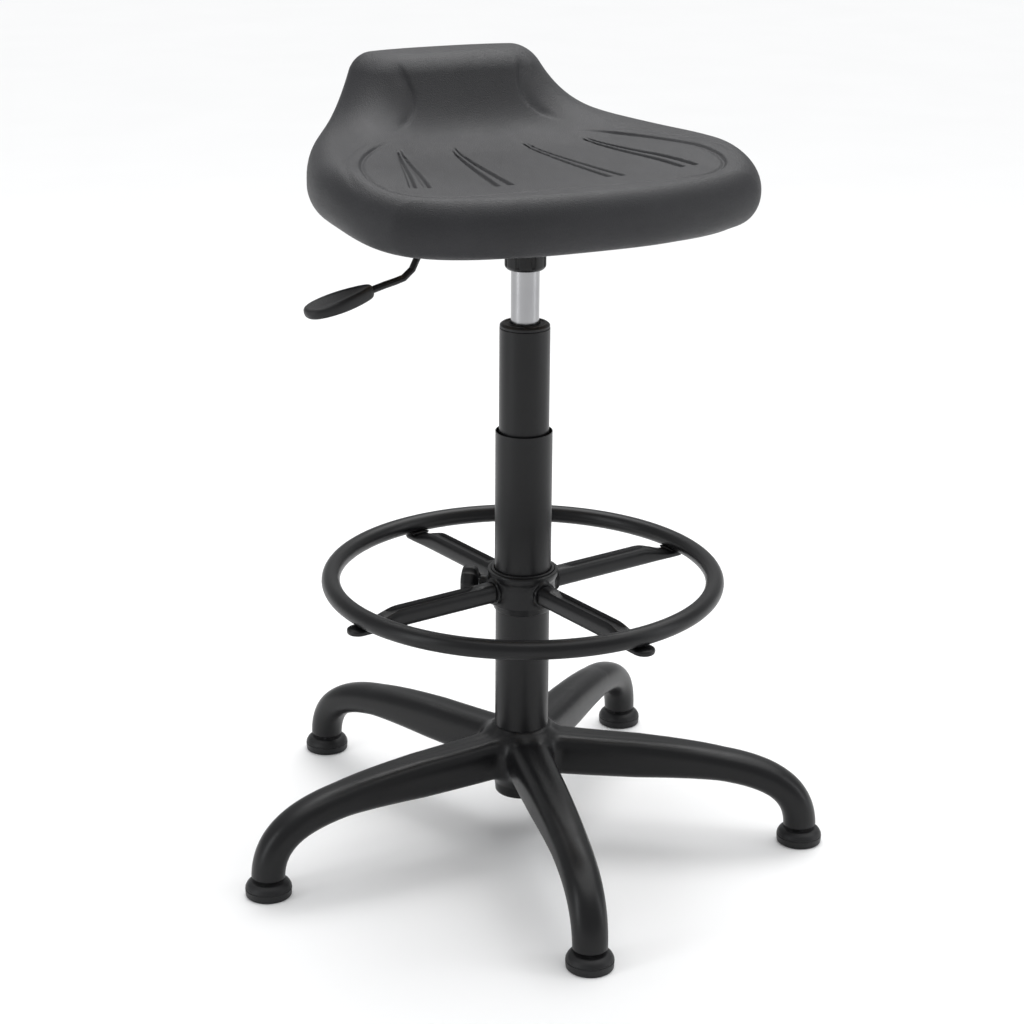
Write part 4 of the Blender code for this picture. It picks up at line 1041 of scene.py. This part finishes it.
def collar_mesh():
    """The cast collar, bored for the sleeve, the liner and the clamp screw."""
    outline = [(0.0, COLLAR_HEIGHTS[0]), *COLLAR_PROFILE, (0.0, COLLAR_HEIGHTS[-1])]
    rough = [turned_mesh("collar_body", outline, steps=96, closed=False, fillet=0.0002)]
    for angle in SPOKE_ANGLES:
        rough.append(lying_rod("boss", angle, 0.0125, 0.010, SPOKE_BOSS_R))
    rough.append(lying_rod("boss", KNOB_ANGLE, 0.0080, 0.010, KNOB_BOSS_R))
    bore = [
        (0.0, 0.238),
        (0.0277, 0.238),
        (0.0277, 0.2617),
        (0.0288, 0.2617),
        (0.0288, 0.2800),
        (0.0323, 0.2800),
        (0.0330, 0.300),
        (0.0, 0.300),
    ]
    cutters = [turned_mesh("bore", bore, steps=128, closed=False, fillet=0.0001)]
    cutters.append(lying_rod("screw_hole", KNOB_ANGLE, 0.0043, 0.020, 0.060, steps=24))
    return cast_mesh("collar_skin", rough, 0.0010, collar_distance, cutters)


def liner_mesh():
    """The plastic liner in the collar's mouth, with a soft rounded lip."""
    low, high, outer = box_and_radius("collar_liner")
    lip = [(outer, high.z, 0.0011), (0.0293, high.z, 0.0005), (0.0288, 0.2912)]
    corners = [(0.0288, low.z), (outer, low.z), *lip]
    return turned_mesh("collar_liner_skin", corners, steps=144, fillet=0.0002)


def knob_mesh():
    """The clamp knob: six soft lobes, a domed face and a waisted neck, turned to lie along its screw."""
    corners = [
        (0.0, 0.0630),
        (0.0100, 0.0628, 0.004),
        (0.0158, 0.0612, 0.0022),
        (0.0172, 0.0585, 0.002),
        (0.0172, 0.0505, 0.002),
        (0.0158, 0.0482, 0.002),
        (0.0110, 0.0462, 0.002),
        (0.0092, 0.0446, 0.0008),
        (0.0044, 0.0446, 0.0003),
        (0.0044, 0.0584, 0.0003),
        (0.0, 0.0584),
    ]
    outline = rounded_outline(corners, closed=False)
    points = turned_points(outline, 180)
    radius, turn = polar(points)
    lobe = 1.0 - 0.10 * smooth_step(0.2, 1.0, -np.cos(6 * turn)) * smooth_step(0.009, 0.016, radius)
    points[..., :2] *= lobe[..., None]
    return close_mesh(quad_mesh("knob_skin", lay_down(points, KNOB_ANGLE), grid_quads(len(outline), 180)))


# --- lever --------------------------------------------------------------------------------------

ROD_TIP = np.array([-0.1920, -0.0345, 0.5990])
ROD_LAST_BEND = np.array([-0.1600, -0.0325, 0.6070])
PADDLE_LENGTH = 0.0700
PADDLE_TILT = math.radians(13.0)


def paddle_mesh():
    """The lever's grip: a teardrop with a flat top, a rounded edge and a thicker neck over the rod."""
    sides, rows = 120, 12
    angle = np.linspace(0.0, math.tau, sides, endpoint=False)
    along = 0.5 * (1 - np.cos(angle))
    width = (0.0125 + 0.0100 * along) * np.sign(np.sin(angle)) * np.abs(np.sin(angle)) ** 0.85
    roll = np.linspace(-math.pi / 2, math.pi / 2, rows)
    sizes = [(0.0, -0.0060), (0.5, -0.0060)]
    sizes += [(1.0 - 0.17 * (1 - math.cos(a)) ** 1.2, 0.0060 * math.sin(a)) for a in roll]
    sizes += [(0.74, 0.0060), (0.70, 0.0057), (0.4, 0.0056), (0.0, 0.0056)]
    points = []
    for share, height in sizes:
        x = -PADDLE_LENGTH * (0.5 + (along - 0.5) * (0.5 + 0.5 * share if share > 0.6 else share * 0.8 / 0.6))
        thick = 1.0 - 0.22 * smooth_step(0.35, 1.0, -x / PADDLE_LENGTH)
        points.append(np.column_stack([x, width * share, height * thick]))
    points = np.array(points)
    heading = ROD_TIP - ROD_LAST_BEND
    heading /= np.linalg.norm(heading)
    swing = Matrix.Rotation(math.atan2(-heading[1], -heading[0]), 3, "Z")
    turn = Matrix.Rotation(-PADDLE_TILT, 3, "Y") @ swing
    placed = points.reshape(-1, 3) @ np.array(turn).T + (ROD_TIP - heading * 0.020)
    return close_mesh(quad_mesh("paddle_skin", placed, grid_quads(len(sizes), sides)), crease=40.0)


# --- settings -----------------------------------------------------------------------------------


class StoolSeatSettings(bpy.types.PropertyGroup):
    """What a user would change on the moulded seat."""

    skin_colour: bpy.props.FloatVectorProperty(
        name="Skin colour", description="Colour of the foam's skin", subtype="COLOR", size=3,
        min=0.0, max=1.0, default=(0.0190, 0.0190, 0.0212),
    )
    skin_roughness: bpy.props.FloatProperty(
        name="Skin roughness", description="Mean roughness of the skin", min=0.0, max=1.0, default=0.50,
    )
    grain_size: bpy.props.FloatProperty(
        name="Grain size", description="Width of one pebble of the grain", unit="LENGTH", default=0.0009,
    )
    groove_width: bpy.props.FloatProperty(
        name="Groove width", description="Width of a ventilation groove", unit="LENGTH", default=0.0085,
    )
    groove_depth: bpy.props.FloatProperty(
        name="Groove depth", description="Depth of a ventilation groove", unit="LENGTH", default=0.0030,
    )
    grid_count: bpy.props.IntProperty(
        name="Grid count", description="Points along each side of the top's grid", min=21, default=361,
    )


class StoolMetalSettings(bpy.types.PropertyGroup):
    """What a user would change on the painted metal."""

    enamel_colour: bpy.props.FloatVectorProperty(
        name="Enamel colour", description="Colour of the powder coat", subtype="COLOR", size=3,
        min=0.0, max=1.0, default=(0.0060, 0.0060, 0.0066),
    )
    enamel_roughness: bpy.props.FloatProperty(
        name="Enamel roughness", description="Mean roughness of the powder coat",
        min=0.0, max=1.0, default=0.36,
    )


class StoolStageSettings(bpy.types.PropertyGroup):
    """What a user would change on the stage."""

    lens: bpy.props.FloatProperty(
        name="Lens", description="Focal length on a 36 mm wide sensor", unit="CAMERA", default=80.30,
    )
    world_strength: bpy.props.FloatProperty(
        name="Surrounding light", description="Strength of the even light all round", min=0.0, default=0.47,
    )


# --- operators ----------------------------------------------------------------------------------


class STOOL_OT_finishes(bpy.types.Operator):
    """Give every node of the design the finish of its slot"""

    bl_idname = "stool.finishes"
    bl_label = "Finishes"

    def execute(self, context):
        for name, node in frame["nodes"].items():
            finish = finish_for(SLOT_OF_NODE[name])
            node.data.materials.clear()
            node.data.materials.append(finish)
        return {"FINISHED"}


class STOOL_OT_seat(bpy.types.Operator):
    """Build the moulded seat with its grooves, creases and grain"""

    bl_idname = "stool.seat"
    bl_label = "Seat"

    def execute(self, context):
        seat = place_piece("seat", seat_mesh(), "seat_cushion")
        return {"FINISHED"}


class STOOL_OT_base(bpy.types.Operator):
    """Build the cast star and its five glides"""

    bl_idname = "stool.base"
    bl_label = "Base"

    def execute(self, context):
        place_piece("cast_star", star_mesh(), "base_star")
        for i in range(1, ARM_COUNT + 1):
            node = f"glide_foot_{i}"
            place_piece(f"glide_{i}_skin", glide_mesh(node), node)
        return {"FINISHED"}


class STOOL_OT_column(bpy.types.Operator):
    """Build the column's tubes, its bush, the gas cylinder and the taper socket"""

    bl_idname = "stool.column"
    bl_label = "Column"

    def execute(self, context):
        place_piece("stand_tube_skin", tube_mesh("stand_tube", 0.0254), "stand_tube")
        place_piece("outer_tube_skin", outer_tube_mesh(), "outer_tube")
        place_piece("bush_skin", bush_mesh(), "guide_bush")
        place_piece("cylinder_skin", cylinder_mesh(), "gas_cylinder")
        place_piece("socket_skin", socket_mesh(), "taper_socket")
        return {"FINISHED"}


class STOOL_OT_foot_ring(bpy.types.Operator):
    """Build the foot ring, its spokes and welds, the collar, its liner and the clamp knob"""

    bl_idname = "stool.foot_ring"
    bl_label = "Foot ring"

    def execute(self, context):
        place_piece("ring_tube", ring_mesh(), "foot_ring")
        for i, angle in enumerate(SPOKE_ANGLES, 1):
            node = f"spoke_{i}"
            spoke = place_piece(f"spoke_{i}_skin", spoke_mesh(node, angle), node)
            weld = add_object(f"weld_{i}", weld_mesh(f"weld_{i}", angle))
            weld.data.materials.append(spoke.data.materials[0])
            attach(weld, body_of(node))
        place_piece("collar_skin", collar_mesh(), "collar")
        place_piece("sleeve_skin", tube_mesh("sleeve", 0.0277), "sleeve")
        place_piece("liner_skin", liner_mesh(), "collar_liner")
        place_piece("knob_skin", knob_mesh(), "clamp_knob")
        return {"FINISHED"}


class STOOL_OT_lever(bpy.types.Operator):
    """Build the height lever's grip"""

    bl_idname = "stool.lever"
    bl_label = "Lever"

    def execute(self, context):
        place_piece("paddle_skin", paddle_mesh(), "lever_paddle")
        return {"FINISHED"}


class STOOL_OT_stage(bpy.types.Operator):
    """Set up the floor, the lights and the camera"""

    bl_idname = "stool.stage"
    bl_label = "Stage"

    def execute(self, context):
        context.scene.view_settings.view_transform = "Standard"
        build_floor()
        build_lights()
        build_camera()
        return {"FINISHED"}


# --- stage --------------------------------------------------------------------------------------


def build_floor():
    """A sheet of paper that runs out past the edges of every view."""
    reach = 24.0
    corners = [(-1, -1, 0), (1, -1, 0), (1, 1, 0), (-1, 1, 0)]
    points = reach * np.array(corners, float)
    mesh = quad_mesh("floor", points, np.array([[0, 1, 2, 3]]))
    floor = add_object("floor", mesh)
    mesh.materials.append(seamless_paper())
    floor.location.z = -0.0002


def add_light(name, place, aim, size, power, tint=(1.0, 1.0, 1.0)):
    """A soft rectangular light at a place, facing a point."""
    light = bpy.data.lights.new(name, "AREA")
    light.shape = "RECTANGLE"
    light.size, light.size_y = size
    light.energy = power
    light.color = tint
    made = add_object(name, light)
    made.location = place
    made.rotation_euler = (Vector(aim) - Vector(place)).to_track_quat("-Z", "Y").to_euler()


def build_lights():
    """A high, very soft key, a broad light overhead, a soft box on either side and an even surround."""
    middle = (0.0, 0.0, 0.45)
    key = bpy.data.lights.new("key", "SUN")
    key.energy = 1.95
    key.angle = math.radians(70.0)
    lamp = add_object("key", key)
    lamp.rotation_euler = Vector((0.25, 0.15, 1.0)).to_track_quat("Z", "Y").to_euler()
    add_light("overhead", (0.5, 0.9, 2.2), middle, (1.6, 1.2), 16.0)
    add_light("left_box", (-2.9, -0.2, 1.3), middle, (0.6, 2.4), 22.0, (0.96, 0.98, 1.0))
    add_light("right_box", (2.3, -1.5, 1.2), middle, (0.5, 2.2), 13.0, (0.96, 0.98, 1.0))
    world = bpy.data.worlds.new("surround")
    world.use_nodes = True
    background = world.node_tree.nodes["Background"]
    background.inputs["Color"].default_value = (0.98, 0.99, 1.0, 1.0)
    background.inputs["Strength"].default_value = bpy.context.scene.stool_stage.world_strength
    bpy.context.scene.world = world


def build_camera():
    """A long lens, a little above the seat and to the sitter's right, looking down at the middle."""
    camera = bpy.data.cameras.new("camera")
    camera.lens = bpy.context.scene.stool_stage.lens
    camera.sensor_width = 36.0
    camera.clip_end = 60.0
    made = add_object("camera", camera)
    distance, height = 2.163, 1.108
    around, heading, pitch, roll = (math.radians(degrees) for degrees in (-26.0, -25.7, 19.3, 0.4))
    place = Vector((distance * math.sin(around), -distance * math.cos(around), height))
    turn = Matrix.Rotation(heading, 4, "Z") @ Matrix.Rotation(math.pi / 2 - pitch, 4, "X")
    made.matrix_world = Matrix.Translation(place) @ turn @ Matrix.Rotation(roll, 4, "Z")
    bpy.context.scene.camera = made


# --- panel and run ------------------------------------------------------------------------------

OPERATORS = (
    STOOL_OT_finishes,
    STOOL_OT_seat,
    STOOL_OT_base,
    STOOL_OT_column,
    STOOL_OT_foot_ring,
    STOOL_OT_lever,
    STOOL_OT_stage,
)


class STOOL_PT_looks(bpy.types.Panel):
    """Settings and steps of the stool's looks"""

    bl_label = "Stool looks"
    bl_idname = "STOOL_PT_looks"
    bl_space_type = "VIEW_3D"
    bl_region_type = "UI"
    bl_category = "Stool"

    def draw(self, context):
        column = self.layout.column()
        for name in SETTINGS:
            group = getattr(context.scene, name)
            for key in group.__annotations__:
                column.prop(group, key)
        for operator in OPERATORS:
            column.operator(operator.bl_idname)


SETTINGS = {
    "stool_seat": StoolSeatSettings,
    "stool_metal": StoolMetalSettings,
    "stool_stage": StoolStageSettings,
}
CLASSES = (*SETTINGS.values(), *OPERATORS, STOOL_PT_looks)


def register():
    for item in CLASSES:
        bpy.utils.register_class(item)
    for name, group in SETTINGS.items():
        setattr(bpy.types.Scene, name, bpy.props.PointerProperty(type=group))


def unregister():
    for name in SETTINGS:
        delattr(bpy.types.Scene, name)
    for item in reversed(CLASSES):
        bpy.utils.unregister_class(item)


def main():
    """Registers the classes, then runs every step in order."""
    register()
    for operator in OPERATORS:
        group, action = operator.bl_idname.split(".")
        getattr(getattr(bpy.ops, group), action)()


if __name__ == "__main__":
    main()
